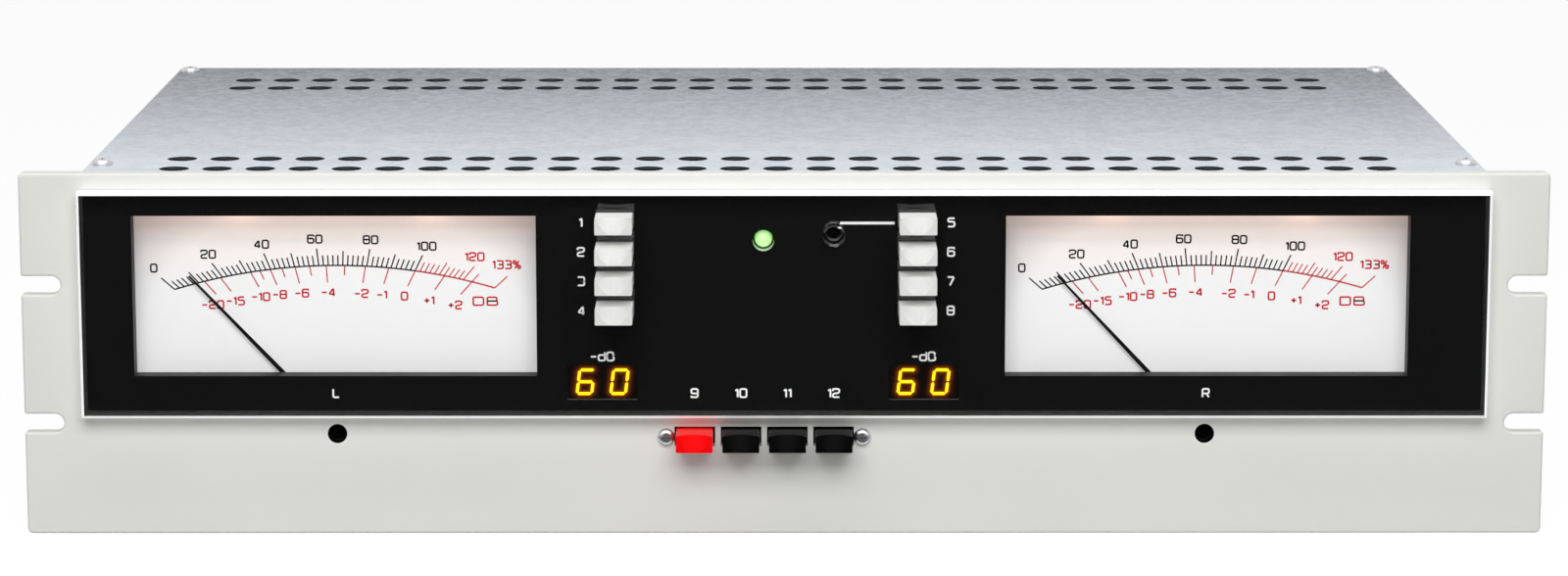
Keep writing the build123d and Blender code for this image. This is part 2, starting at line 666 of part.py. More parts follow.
def meter_case(x):
    """Meter housing whose rim lines the panel's window, with a seat for the zero screw in its front."""
    with BuildPart() as case:
        with BuildSketch(facing(CASE_D)):
            with Locations((x, CASE_Z)):
                RectangleRounded(CASE_W, CASE_H, CASE_CORNER_R)
        extrude(amount=CASE_D)
        with BuildSketch(facing(EAR_T)):
            with Locations(*[place for place in EARS if abs(place[0] - x) < CASE_W / 2]):
                Rectangle(EAR_W, EAR_H)
        extrude(amount=EAR_T)
        with BuildSketch(facing(EAR_T)):
            with Locations(*[place for place in EARS if abs(place[0] - x) < CASE_W / 2]):
                Circle(METER_SCREW[2] + SCREW_GAP)
        extrude(amount=EAR_T, mode=Mode.SUBTRACT)
        with BuildSketch(facing(CASE_D)):
            with Locations((x, CASE_Z)):
                Rectangle(CASE_IN_W, CASE_H - 2 * CASE_WALL)
        extrude(amount=CASE_D - CASE_FRONT_T, mode=Mode.SUBTRACT)
        with BuildSketch(facing(0)):
            with Locations((x, WINDOW_Z)):
                Rectangle(WINDOW_W + 2 * RIM_T, WINDOW_H + 2 * RIM_T)
        extrude(amount=PANEL_T)
        with BuildSketch(facing(CASE_FRONT_T)):
            with Locations((x, WINDOW_Z)):
                Rectangle(WINDOW_W, WINDOW_H)
        extrude(amount=CASE_FRONT_T + PANEL_T, mode=Mode.SUBTRACT)
        with BuildSketch(facing(0)):
            with Locations((x, PIVOT_Z)):
                Circle(ZERO_SEAT_R)
        extrude(amount=-ZERO_SEAT_D, mode=Mode.SUBTRACT)
        with BuildSketch(facing(0)):
            with Locations((x, PIVOT_Z)):
                Circle(ZERO_SHANK_R + TURN_GAP)
        extrude(amount=-CASE_FRONT_T, mode=Mode.SUBTRACT)
        with BuildSketch(facing(CASE_D)):
            with Locations(*[(x + side * (CASE_IN_W - RIB_W) / 2, WINDOW_Z) for side in (-1, 1)]):
                Rectangle(RIB_W, WINDOW_H)
        extrude(amount=CASE_D - DIAL_Y - DIAL_T)
    return case.part


def meter_dial(x):
    """Dial plate behind the window, with a stop pin on each side of the pointer's travel."""
    down_stop = NEEDLE_REST_DEG + NEEDLE_DOWN_DEG + STOP_MARGIN_DEG
    up_stop = NEEDLE_REST_DEG - NEEDLE_UP_DEG - STOP_MARGIN_DEG
    with BuildPart() as dial:
        with BuildSketch(facing(DIAL_Y + DIAL_T)):
            with Locations((x, (DIAL_TOP + DIAL_BOTTOM) / 2)):
                Rectangle(CASE_IN_W - 2 * DIAL_GAP, DIAL_TOP - DIAL_BOTTOM)
        extrude(amount=DIAL_T)
        with BuildSketch(facing(DIAL_Y)):
            with Locations(*[
                (x - STOP_RADIUS * sin(radians(turn)), PIVOT_Z + STOP_RADIUS * cos(radians(turn)))
                for turn in (down_stop, up_stop)
            ]):
                Circle(STOP_R)
        extrude(amount=STOP_L)
    return dial.part


def meter_movement(x):
    """Magnet block with its core, and a bridge at each end that holds one pivot."""
    with BuildPart() as movement:
        with BuildSketch(facing(MAGNET_END)):
            with Locations((x, PIVOT_Z)):
                Rectangle(MAGNET_SIZE, MAGNET_SIZE)
                Circle(MAGNET_BORE_R, mode=Mode.SUBTRACT)
        extrude(amount=MAGNET_D)
        with BuildSketch(facing(MAGNET_END - (MAGNET_D - CORE_L) / 2)):
            with Locations((x, PIVOT_Z)):
                Circle(CORE_R)
                Rectangle(CORE_BAR, 2 * MAGNET_BORE_R + COIL_T)
        extrude(amount=CORE_L)
        for face, away in ((MAGNET_Y, 1), (MAGNET_END, -1)):
            with BuildSketch(facing(face)):
                with Locations(*[(x, PIVOT_Z + up * BRIDGE_POST_Z) for up in (-1, 1)]):
                    Rectangle(POST_W, POST_W)
            extrude(amount=away * (BRIDGE_GAP + BRIDGE_T))
            with BuildSketch(facing(face - away * BRIDGE_GAP)):
                with Locations((x, PIVOT_Z)):
                    Rectangle(BRIDGE_W, 2 * BRIDGE_POST_Z + POST_W)
                    Circle(STAFF_R + TURN_GAP, mode=Mode.SUBTRACT)
            extrude(amount=away * BRIDGE_T)
        with BuildSketch(facing(CASE_D)):
            with Locations(*[
                (x + side * (MAGNET_SIZE - LEG_W) / 2, PIVOT_Z + up * (MAGNET_SIZE - LEG_W) / 2)
                for side, up in CORNERS
            ]):
                Rectangle(LEG_W, LEG_W)
        extrude(amount=CASE_D - MAGNET_END)
    return movement.part


def meter_needle(x):
    """Pointer with its hub, front staff and balance weight, at its rest angle."""
    at_rest = Location((x, PIVOT_Z, 0), (0, 0, NEEDLE_REST_DEG))
    with BuildPart() as needle:
        with BuildSketch(facing(NEEDLE_Y + NEEDLE_T)):
            with Locations(at_rest):
                Polygon(
                    (-NEEDLE_ROOT_W / 2, -TAIL_LENGTH),
                    (NEEDLE_ROOT_W / 2, -TAIL_LENGTH),
                    (NEEDLE_ROOT_W / 2, 0),
                    (NEEDLE_TIP_W / 2, NEEDLE_LENGTH),
                    (-NEEDLE_TIP_W / 2, NEEDLE_LENGTH),
                    (-NEEDLE_ROOT_W / 2, 0),
                )
        extrude(amount=NEEDLE_T)
        with BuildSketch(facing(HUB_Y + HUB_T)):
            with Locations(at_rest):
                Circle(HUB_R)
        extrude(amount=HUB_T)
        with BuildSketch(facing(HUB_Y + TAIL_T)):
            with Locations(at_rest):
                with Locations((0, -TAIL_LENGTH)):
                    Circle(TAIL_R)
        extrude(amount=TAIL_T)
        with BuildSketch(facing(COIL_FRONT)):
            with Locations(at_rest):
                Circle(STAFF_R)
        extrude(amount=COIL_FRONT - HUB_Y - HUB_T)
    return needle.part


def meter_coil(x):
    """Moving coil round the core, with its rear staff."""
    turn = radians(NEEDLE_REST_DEG)
    across = Plane(
        origin=(x, 0, PIVOT_Z), x_dir=(cos(turn), 0, sin(turn)), z_dir=(-sin(turn), 0, cos(turn))
    )
    with BuildPart() as coil:
        with BuildSketch(across):
            with Locations((0, (COIL_FRONT + COIL_END) / 2)):
                Rectangle(2 * COIL_R, COIL_END - COIL_FRONT)
                Rectangle(
                    2 * (COIL_R - COIL_T), COIL_END - COIL_FRONT - 2 * COIL_T, mode=Mode.SUBTRACT
                )
        extrude(amount=COIL_W / 2, both=True)
        with BuildSketch(facing(COIL_END)):
            with Locations((x, PIVOT_Z)):
                Circle(STAFF_R)
        extrude(amount=-(MAGNET_END + BRIDGE_GAP + BRIDGE_T - COIL_END))
    return coil.part


def zero_screw(x):
    """Slotted zero-adjust screw in the case's front wall, with an eccentric pin behind."""
    head_back = ZERO_HEAD_Y + ZERO_HEAD_T
    shank_end = head_back + ZERO_SHANK_L
    with BuildPart() as screw:
        with BuildSketch(facing(head_back)):
            with Locations((x, PIVOT_Z)):
                Circle(ZERO_HEAD_R)
        extrude(amount=ZERO_HEAD_T)
        with BuildSketch(facing(ZERO_HEAD_Y)):
            with Locations((x, PIVOT_Z)):
                Rectangle(2 * ZERO_HEAD_R, ZERO_SLOT_W)
        extrude(amount=-ZERO_SLOT_D, mode=Mode.SUBTRACT)
        with BuildSketch(facing(shank_end)):
            with Locations((x, PIVOT_Z)):
                Circle(ZERO_SHANK_R)
        extrude(amount=ZERO_SHANK_L)
        with BuildSketch(facing(shank_end)):
            with Locations((x + ZERO_PIN_OFFSET, PIVOT_Z)):
                Circle(ZERO_PIN_R)
        extrude(amount=-ZERO_PIN_L)
    return screw.part


for side_name, meter_x in zip(("left", "right"), METER_X):
    save(f"{side_name}_meter_case", meter_case(meter_x))
    save(f"{side_name}_meter_dial", meter_dial(meter_x))
    save(f"{side_name}_meter_movement", meter_movement(meter_x))
    save(f"{side_name}_meter_needle", meter_needle(meter_x))
    save(f"{side_name}_meter_coil", meter_coil(meter_x))
    save(f"{side_name}_zero_screw", zero_screw(meter_x))

# Rear closures of the two meter cases, each with two terminal studs
with BuildPart() as meter_backs:
    with BuildSketch(facing(CASE_D + BACK_T)):
        with Locations(*[(x, CASE_Z) for x in METER_X]):
            RectangleRounded(CASE_W, CASE_H, CASE_CORNER_R)
    extrude(amount=BACK_T)
    with BuildSketch(facing(CASE_D + BACK_T)):
        with Locations(*[(x + side * TERMINAL_PITCH / 2, CASE_Z) for x in METER_X for side in (-1, 1)]):
            Circle(TERMINAL_R)
    extrude(amount=-TERMINAL_L)
save("meter_backs", meter_backs.part)

# Small tubular lamps above each dial
LAMP_PLACES = [
    (x + side * LAMP_PITCH / 2, CASE_FRONT_T + LAMP_GAP + LAMP_R, CASE_TOP - CASE_WALL - LAMP_GAP - LAMP_R)
    for x in METER_X
    for side in (-1, 1)
]
with BuildPart() as meter_lamps:
    with Locations(*LAMP_PLACES):
        Cylinder(LAMP_R, LAMP_L, rotation=(0, 90, 0))
    fillet(meter_lamps.edges().filter_by(GeomType.CIRCLE), LAMP_R / 2)
save("meter_lamps", meter_lamps.part)

# Screws through the meter cases' ears into the panel
save("meter_screws", pan_screws(looking_back(EAR_T), [(-x, z) for x, z in EARS], METER_SCREW))


def push_button(place, cap_front, cap_rear, plunger_end):
    """Cap and its plunger. A finger dish in the face is deepest at the top and runs out at the bottom."""
    dish_r = ((CAP_W / 2) ** 2 + DISH_DEPTH**2) / (2 * DISH_DEPTH)
    dish_lean = degrees(atan2(DISH_DEPTH, CAP_H))
    dish_length = hypot(DISH_DEPTH, CAP_H) + 2 * dish_r
    socket_end = cap_rear - SOCKET_D
    x, z = place
    with BuildPart() as button:
        with BuildSketch(facing(cap_rear)):
            with Locations(place):
                Rectangle(CAP_W, CAP_H)
        extrude(amount=cap_rear - cap_front)
        fillet(button.edges().filter_by(Axis.Y), CAP_EDGE_R)
        dish_y = cap_front + DISH_DEPTH / 2 - dish_r / cos(radians(dish_lean))
        with Locations(Location((x, dish_y, z), (-dish_lean, 0, 0))):
            Cylinder(dish_r, dish_length, mode=Mode.SUBTRACT)
        with BuildSketch(facing(cap_rear)):
            with Locations(place):
                Rectangle(PLUNGER_W + 2 * PLUNGER_GAP, PLUNGER_H + 2 * PLUNGER_GAP)
        extrude(amount=SOCKET_D, mode=Mode.SUBTRACT)
        with BuildSketch(facing(plunger_end)):
            with Locations(place):
                Rectangle(PLUNGER_W, PLUNGER_H)
        extrude(amount=plunger_end - socket_end - PLUNGER_GAP)
    return button.part


# White buttons in two banks of four; the top one of each bank is latched in
UPPER_PLUNGER_END = BOARD_BACK + BORE_D - BORE_SPARE - BUTTON_TRAVEL
for bank_name, bank_x in zip(("left", "right"), UPPER_X):
    for number, row_z in enumerate(UPPER_ROWS, start=1):
        pressed = LATCH_TRAVEL if number == 1 else 0.0
        save(
            f"{bank_name}_button_{number}",
            push_button(
                (bank_x, row_z),
                UPPER_CAP_FRONT + pressed,
                UPPER_CAP_REAR + pressed,
                UPPER_PLUNGER_END + pressed,
            ),
        )

# Lower buttons, one red and three black
LOWER_PLUNGER_END = LOWER_BANK_Y + BORE_D - BORE_SPARE - BUTTON_TRAVEL
for number, cap_place in enumerate(LOWER_CAPS, start=1):
    lower_button = push_button(cap_place, LOWER_CAP_FRONT, LOWER_CAP_REAR, LOWER_PLUNGER_END)
    save(f"lower_button_{number}", lower_button)

# Switch bodies behind the front board, one block for each bank of four
with BuildPart() as upper_switch_banks:
    with BuildSketch(facing(BOARD_BACK + BANK_D)):
        with Locations(*[(x, UPPER_Z) for x in UPPER_X]):
            Rectangle(BANK_W, UPPER_SPAN + 2 * BANK_END)
    extrude(amount=BANK_D)
    with BuildSketch(facing(BOARD_BACK + BORE_D)):
        with Locations(*UPPER_CAPS):
            Rectangle(PLUNGER_W + 2 * BORE_GAP, PLUNGER_H + 2 * BORE_GAP)
    extrude(amount=BORE_D, mode=Mode.SUBTRACT)
save("upper_switch_banks", upper_switch_banks.part)

# Lower switch body with the bracket that the two front screws hold
with BuildPart() as lower_switch_bank:
    with BuildSketch(facing(BRACKET_T)):
        with Locations((LOWER_X, LOWER_Z)):
            Rectangle(BRACKET_W, BRACKET_H)
    extrude(amount=BRACKET_T)
    with BuildSketch(facing(LOWER_BANK_Y + BANK_D)):
        with Locations((LOWER_X, LOWER_Z)):
            Rectangle(LOWER_BANK_W, LOWER_BANK_H)
    extrude(amount=BANK_D)
    with BuildSketch(facing(LOWER_BANK_Y)):
        with Locations(*[(LOWER_X + side * (LOWER_BANK_W - BANK_ARM_W) / 2, LOWER_Z) for side in (-1, 1)]):
            Rectangle(BANK_ARM_W, LOWER_BANK_H)
    extrude(amount=LOWER_BANK_Y - BRACKET_T)
    with BuildSketch(facing(BRACKET_T)):
        with Locations(*LOWER_CAPS):
            Rectangle(LOWER_CUTOUT_W, LOWER_CUTOUT_H)
    extrude(amount=BRACKET_T, mode=Mode.SUBTRACT)
    with BuildSketch(facing(BRACKET_T)):
        with Locations(*BANK_SCREWS):
            Circle(BANK_SCREW[2] + SCREW_GAP)
    extrude(amount=BRACKET_T, mode=Mode.SUBTRACT)
    with BuildSketch(facing(LOWER_BANK_Y + BORE_D)):
        with Locations(*LOWER_CAPS):
            Rectangle(PLUNGER_W + 2 * BORE_GAP, PLUNGER_H + 2 * BORE_GAP)
    extrude(amount=BORE_D, mode=Mode.SUBTRACT)
save("lower_switch_bank", lower_switch_bank.part)

save("bank_screws", pan_screws(facing(PANEL_FRONT), BANK_SCREWS, BANK_SCREW))

# Two-digit display modules between the front board and the panel's openings
with BuildPart() as display_modules:
    with BuildSketch(facing(FRONT_BOARD_Y)):
        with Locations(*[(x, DISPLAY_Z) for x in DISPLAY_X]):
            Rectangle(DISPLAY_W, DISPLAY_H)
    extrude(amount=FRONT_BOARD_Y - DISPLAY_Y)
save("display_modules", display_modules.part)


def segment_outline(segment):
    """Corners of one leaning display bar with pointed ends, about the digit's centre."""
    x_0, z_0, x_1, z_1 = (DIGIT_NODES[word] for word in SEGMENTS[segment])
    length = hypot(x_1 - x_0, z_1 - z_0)
    along = ((x_1 - x_0) / length, (z_1 - z_0) / length)
    half = SEGMENT_W / 2
    corners = [
        (SEGMENT_GAP, 0), (SEGMENT_GAP + half, -half), (length - SEGMENT_GAP - half, -half),
        (length - SEGMENT_GAP, 0), (length - SEGMENT_GAP - half, half), (SEGMENT_GAP + half, half),
    ]
    outline = []
    for run, rise in corners:
        x = x_0 + run * along[0] - rise * along[1]
        z = z_0 + run * along[1] + rise * along[0]
        outline.append((x + z * tan(radians(DIGIT_LEAN)), z))
    return outline


# Lit bars of the four digits, on the modules' faces
with BuildPart() as display_digits:
    with BuildSketch(facing(DISPLAY_Y)):
        for display_x in DISPLAY_X:
            for place, lit in zip((-1, 1), LIT):
                with Locations((display_x + place * DIGIT_PITCH / 2, DISPLAY_Z)):
                    for segment in lit:
                        Polygon(*segment_outline(segment))
    extrude(amount=SEGMENT_T)
save("display_digits", display_digits.part)

# Pilot lamp behind its hole, on two leads
with BuildPart() as pilot_lamp:
    with BuildSketch(facing(PILOT_BACK_Y)):
        with Locations((PILOT_X, PILOT_Z)):
            Circle(PILOT_R)
    extrude(amount=PILOT_BACK_Y - PILOT_TIP_Y)
    fillet(pilot_lamp.edges().sort_by(Axis.Y)[0], PILOT_R * 0.95)
    with BuildSketch(facing(FRONT_BOARD_Y)):
        with Locations(*[(PILOT_X + side * PILOT_LEAD_PITCH / 2, PILOT_Z) for side in (-1, 1)]):
            Rectangle(PILOT_LEAD_W, PILOT_LEAD_W)
    extrude(amount=FRONT_BOARD_Y - PILOT_BACK_Y)
save("pilot_lamp", pilot_lamp.part)

# Phase trimmer body on the front board, and its slotted screw
TRIMMER_FACE = FRONT_BOARD_Y - TRIMMER_T
with BuildPart() as phase_trimmer:
    with BuildSketch(facing(FRONT_BOARD_Y)):
        with Locations((PHASE_X, PHASE_Z)):
            Rectangle(TRIMMER_W, TRIMMER_W)
    extrude(amount=TRIMMER_T)
    with BuildSketch(facing(TRIMMER_FACE)):
        with Locations((PHASE_X, PHASE_Z)):
            Circle(TRIMMER_SHANK_R + TURN_GAP)
    extrude(amount=-TRIMMER_BORE_D, mode=Mode.SUBTRACT)
save("phase_trimmer", phase_trimmer.part)

with BuildPart() as trimmer_screw:
    with BuildSketch(facing(TRIMMER_FACE - TRIMMER_GAP)):
        with Locations((PHASE_X, PHASE_Z)):
            Circle(TRIMMER_HEAD_R)
    extrude(amount=TRIMMER_HEAD_T)
    with BuildSketch(facing(TRIMMER_FACE - TRIMMER_GAP - TRIMMER_HEAD_T)):
        with Locations((PHASE_X, PHASE_Z)):
            Rectangle(2 * TRIMMER_HEAD_R, TRIMMER_SLOT_W)
    extrude(amount=-TRIMMER_SLOT_D, mode=Mode.SUBTRACT)
    with BuildSketch(facing(TRIMMER_FACE - TRIMMER_GAP)):
        with Locations((PHASE_X, PHASE_Z)):
            Circle(TRIMMER_SHANK_R)
    extrude(amount=-TRIMMER_SHANK_L)
save("trimmer_screw", trimmer_screw.part)

# Front board with a slot for each upper plunger and a header for the ribbon cable
with BuildPart() as front_board:
    with BuildSketch(facing(BOARD_BACK)):
        with Locations((FRONT_BOARD_X, FRONT_BOARD_Z)):
            Rectangle(FRONT_BOARD_W, FRONT_BOARD_H)
        with Locations(*UPPER_CAPS):
            slot_space = 2 * BOARD_SLOT_GAP
            Rectangle(PLUNGER_W + slot_space, PLUNGER_H + slot_space, mode=Mode.SUBTRACT)
        with Locations(*FRONT_STANDOFFS):
            Circle(BOARD_SCREW[2] + SCREW_GAP, mode=Mode.SUBTRACT)
    extrude(amount=BOARD_T)
    with BuildSketch(facing(BOARD_BACK)):
        with Locations((FRONT_BOARD_X, RIBBON_Z)):
            Rectangle(HEADER_W, HEADER_T)
    extrude(amount=-HEADER_H)
save("front_board", front_board.part)

# Main board with its chips and a header for the ribbon cable
with BuildPart() as main_board:
    with BuildSketch(Plane.XY.offset(MAIN_BOARD_Z)):
        with Locations((MAIN_BOARD_X, MAIN_BOARD_Y)):
            Rectangle(MAIN_BOARD_W, MAIN_BOARD_D)
        with Locations(*MAIN_STANDOFFS):
            Circle(BOARD_SCREW[2] + SCREW_GAP, mode=Mode.SUBTRACT)
    extrude(amount=BOARD_T)
    with BuildSketch(Plane.XY.offset(MAIN_BOARD_TOP)):
        with Locations((MAIN_BOARD_X + CHIP_L, MAIN_BOARD_Y - CHIP_L / 2)):
            with GridLocations(2 * CHIP_L, 3 * CHIP_W, 5, 4):
                Rectangle(CHIP_L, CHIP_W)
    extrude(amount=CHIP_H)
    with BuildSketch(Plane.XY.offset(MAIN_BOARD_TOP)):
        with Locations((FRONT_BOARD_X, HEADER_Y)):
            Rectangle(HEADER_W, HEADER_T)
    extrude(amount=HEADER_H)
save("main_board", main_board.part)


def standoffs(plane, places, length):
    """Hexagonal standoffs that rise from the plane, with a screw bore in the far end."""
    with BuildPart() as pillars:
        with BuildSketch(plane):
            with Locations(*places):
                RegularPolygon(STANDOFF_R, 6)
        extrude(amount=length)
        with BuildSketch(plane.offset(length)):
            with Locations(*places):
                Circle(BOARD_SCREW[2] + SCREW_GAP)
        extrude(amount=-(BOARD_SCREW[3] - BOARD_T + SCREW_BORE_EXTRA), mode=Mode.SUBTRACT)
    return pillars.part


with BuildPart() as board_standoffs:
    behind = [(-x, z) for x, z in FRONT_STANDOFFS]
    add(standoffs(looking_back(0), behind, FRONT_BOARD_Y))
    add(pan_screws(looking_back(BOARD_BACK), behind, BOARD_SCREW))
    add(standoffs(Plane.XY.offset(DECK_Z), MAIN_STANDOFFS, MAIN_STANDOFF_L))
    add(pan_screws(Plane.XY.offset(MAIN_BOARD_TOP), MAIN_STANDOFFS, BOARD_SCREW))
save("board_standoffs", board_standoffs.part)

# Flat cable from the front board's header back and down to the main board's header
with BuildPart() as ribbon_cable:
    with BuildLine(Plane.YZ.offset(FRONT_BOARD_X)) as route:
        FilletPolyline(
            (BOARD_BACK + HEADER_H, RIBBON_Z),
            (HEADER_Y, RIBBON_Z),
            (HEADER_Y, MAIN_BOARD_TOP + HEADER_H),
            radius=RIBBON_R,
        )
    with BuildSketch(facing(BOARD_BACK + HEADER_H)):
        with Locations((FRONT_BOARD_X, RIBBON_Z)):
            Rectangle(RIBBON_W, RIBBON_T)
    sweep(path=route.line)
save("ribbon_cable", ribbon_cable.part)

# Transformer: a laminated stack with two windows, and the winding on its middle limb
with BuildPart() as transformer_stack:
    with BuildSketch(facing(TRANSFORMER_Y + STACK_D / 2)):
        with Locations((TRANSFORMER_X, DECK_Z + STACK_H / 2)):
            Rectangle(STACK_W, STACK_H)
            with Locations(*[(side * 1.5 * LIMB_W, 0) for side in (-1, 1)]):
                Rectangle(LIMB_W, STACK_H - 2 * LIMB_W, mode=Mode.SUBTRACT)
    extrude(amount=STACK_D)
save("transformer_stack", transformer_stack.part)

WINDING_H = STACK_H - 2 * LIMB_W - 2 * WINDING_GAP
with BuildPart() as transformer_winding:
    with BuildSketch(Plane.XY.offset(DECK_Z + LIMB_W + WINDING_GAP)):
        with Locations((TRANSFORMER_X, TRANSFORMER_Y)):
            Rectangle(4 * LIMB_W - 2 * WINDING_GAP, WINDING_D)
            Rectangle(2 * LIMB_W + 2 * WINDING_GAP, STACK_D + 2 * WINDING_GAP, mode=Mode.SUBTRACT)
    extrude(amount=WINDING_H)
save("transformer_winding", transformer_winding.part)

with BuildPart() as capacitors:
    with BuildSketch(Plane.XY.offset(MAIN_BOARD_TOP)):
        with Locations(*[(CAPACITOR_X + i * CAPACITOR_PITCH, CAPACITOR_Y) for i in (-1, 0, 1)]):
            Circle(CAPACITOR_R)
    extrude(amount=CAPACITOR_H)
    fillet(capacitors.edges().group_by(Axis.Z)[-1], 1.0)
save("capacitors", capacitors.part)

with BuildPart() as heat_sink:
    with BuildSketch(facing(REAR_INNER)):
        with Locations((SINK_X, REAR_Z)):
            Rectangle(SINK_W, SINK_H)
    extrude(amount=SINK_BASE_T)
    with BuildSketch(facing(REAR_INNER - SINK_BASE_T)):
        with Locations((SINK_X, REAR_Z)):
            with GridLocations((SINK_W - FIN_T) / (FIN_COUNT - 1), 1, FIN_COUNT, 1):
                Rectangle(FIN_T, SINK_H)
    extrude(amount=SINK_D - SINK_BASE_T)
save("heat_sink", heat_sink.part)

# Coaxial signal jacks: barrel with bayonet lugs and flange outside, neck and nut inside
JACK_END = CHASSIS_D + JACK_FLANGE_T + JACK_L
with BuildPart() as signal_jacks:
    for length, radius in (
        (JACK_FLANGE_T, JACK_FLANGE_R),
        (JACK_FLANGE_T + JACK_L, JACK_R),
    ):
        with BuildSketch(facing(CHASSIS_D)):
            with Locations(*[(x, REAR_Z) for x in JACK_X]):
                Circle(radius)
        extrude(amount=-length)
    with BuildSketch(facing(CHASSIS_D)):
        with Locations(*[(x, REAR_Z) for x in JACK_X]):
            Circle(JACK_R)
    extrude(amount=JACK_INSIDE)
    with BuildSketch(facing(REAR_INNER)):
        with Locations(*[(x, REAR_Z) for x in JACK_X]):
            RegularPolygon(JACK_FLANGE_R, 6)
    extrude(amount=FITTING_NUT_T)
    with Locations(*[(x, JACK_END - JACK_LUG_IN, REAR_Z) for x in JACK_X]):
        Cylinder(JACK_LUG_R, 2 * (JACK_R + JACK_LUG_L))
    with BuildSketch(facing(JACK_END)):
        with Locations(*[(x, REAR_Z) for x in JACK_X]):
            Circle(JACK_BORE_R)
            Circle(JACK_PIN_R, mode=Mode.SUBTRACT)
    extrude(amount=JACK_BORE_D, mode=Mode.SUBTRACT)
save("signal_jacks", signal_jacks.part)

# Barrier terminal strip with one screw in each pocket
STRIP_W = STRIP_WAYS * STRIP_PITCH + STRIP_PITCH - STRIP_POCKET_W
with BuildPart() as terminal_strip:
    with BuildSketch(facing(CHASSIS_D)):
        with Locations((STRIP_X, REAR_Z)):
            Rectangle(STRIP_W, STRIP_H)
    extrude(amount=-STRIP_D)
    with BuildSketch(facing(CHASSIS_D + STRIP_D)):
        with Locations((STRIP_X, REAR_Z)):
            with GridLocations(STRIP_PITCH, 1, STRIP_WAYS, 1):
                Rectangle(STRIP_POCKET_W, STRIP_POCKET_H)
    extrude(amount=STRIP_POCKET_D, mode=Mode.SUBTRACT)
    with BuildSketch(facing(CHASSIS_D + STRIP_D - STRIP_POCKET_D)):
        with Locations((STRIP_X, REAR_Z)):
            with GridLocations(STRIP_PITCH, 1, STRIP_WAYS, 1):
                Circle(STRIP_SCREW_R)
    extrude(amount=-STRIP_SCREW_H)
save("terminal_strip", terminal_strip.part)

# Power inlet: flange outside, body through the rear panel, and three pins in the cavity
with BuildPart() as power_inlet:
    with BuildSketch(facing(CHASSIS_D + INLET_FLANGE_T)):
        with Locations((INLET_X, REAR_Z)):
            RectangleRounded(INLET_FLANGE_W, INLET_FLANGE_H, 2 * INLET_WALL)
        with Locations(*INLET_SCREWS):
            Circle(FRAME_SCREW[2] + SCREW_GAP, mode=Mode.SUBTRACT)
    extrude(amount=INLET_FLANGE_T)
    with BuildSketch(facing(CHASSIS_D)):
        with Locations((INLET_X, REAR_Z)):
            Rectangle(INLET_W, INLET_H)
    extrude(amount=INLET_D)
    with BuildSketch(facing(CHASSIS_D + INLET_FLANGE_T)) as cavity:
        with Locations((INLET_X, REAR_Z)):
            Rectangle(INLET_W - 2 * INLET_WALL, INLET_H - 2 * INLET_WALL)
        chamfer(cavity.vertices().group_by(Axis.Y)[-1], INLET_CORNER)
    extrude(amount=INLET_CAVITY_D, mode=Mode.SUBTRACT)
    with BuildSketch(facing(CHASSIS_D + INLET_FLANGE_T - INLET_CAVITY_D)):
        with Locations(*[(INLET_X + i * INLET_PIN_PITCH, REAR_Z + INLET_PIN_Z) for i in (-1, 0, 1)]):
            Rectangle(INLET_PIN_W, INLET_PIN_H)
    extrude(amount=-INLET_PIN_L)
save("power_inlet", power_inlet.part)

# Fuse holder with its turning cap
with BuildPart() as fuse_holder:
    with BuildSketch(facing(CHASSIS_D)):
        with Locations((FUSE_X, REAR_Z)):
            Circle(FUSE_FLANGE_R)
    extrude(amount=-FUSE_FLANGE_T)
    with BuildSketch(facing(CHASSIS_D)):
        with Locations((FUSE_X, REAR_Z)):
            Circle(FUSE_BODY_R)
    extrude(amount=FUSE_D)
    with BuildSketch(facing(REAR_INNER)):
        with Locations((FUSE_X, REAR_Z)):
            RegularPolygon(FUSE_FLANGE_R, 6)
    extrude(amount=FITTING_NUT_T)
    with BuildSketch(facing(CHASSIS_D + FUSE_FLANGE_T)):
        with Locations((FUSE_X, REAR_Z)):
            Circle(FUSE_BORE_R)
    extrude(amount=FUSE_BORE_D, mode=Mode.SUBTRACT)
save("fuse_holder", fuse_holder.part)

FUSE_CAP_FACE = CHASSIS_D + FUSE_FLANGE_T + FUSE_CAP_GAP
with BuildPart() as fuse_cap:
    with BuildSketch(facing(FUSE_CAP_FACE)):
        with Locations((FUSE_X, REAR_Z)):
            Circle(FUSE_CAP_R)
            with PolarLocations(FUSE_CAP_R, FUSE_GRIPS):
                Circle(FUSE_GRIP_R, mode=Mode.SUBTRACT)
    extrude(amount=-FUSE_CAP_L)
    with BuildSketch(facing(FUSE_CAP_FACE)):
        with Locations((FUSE_X, REAR_Z)):
            Circle(FUSE_BORE_R - TURN_GAP)
    extrude(amount=FUSE_NECK_L)
save("fuse_cap", fuse_cap.part)
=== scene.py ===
"""Finishes, printed scales, lights and camera for a rack-mounted stereo monitor.

Metres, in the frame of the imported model: X to the viewer's right, Y into the chassis, Z up.
"""
import json
from math import exp, hypot, pi, radians, sqrt

import bmesh
import bpy
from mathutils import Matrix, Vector
from mathutils.bvhtree import BVHTree


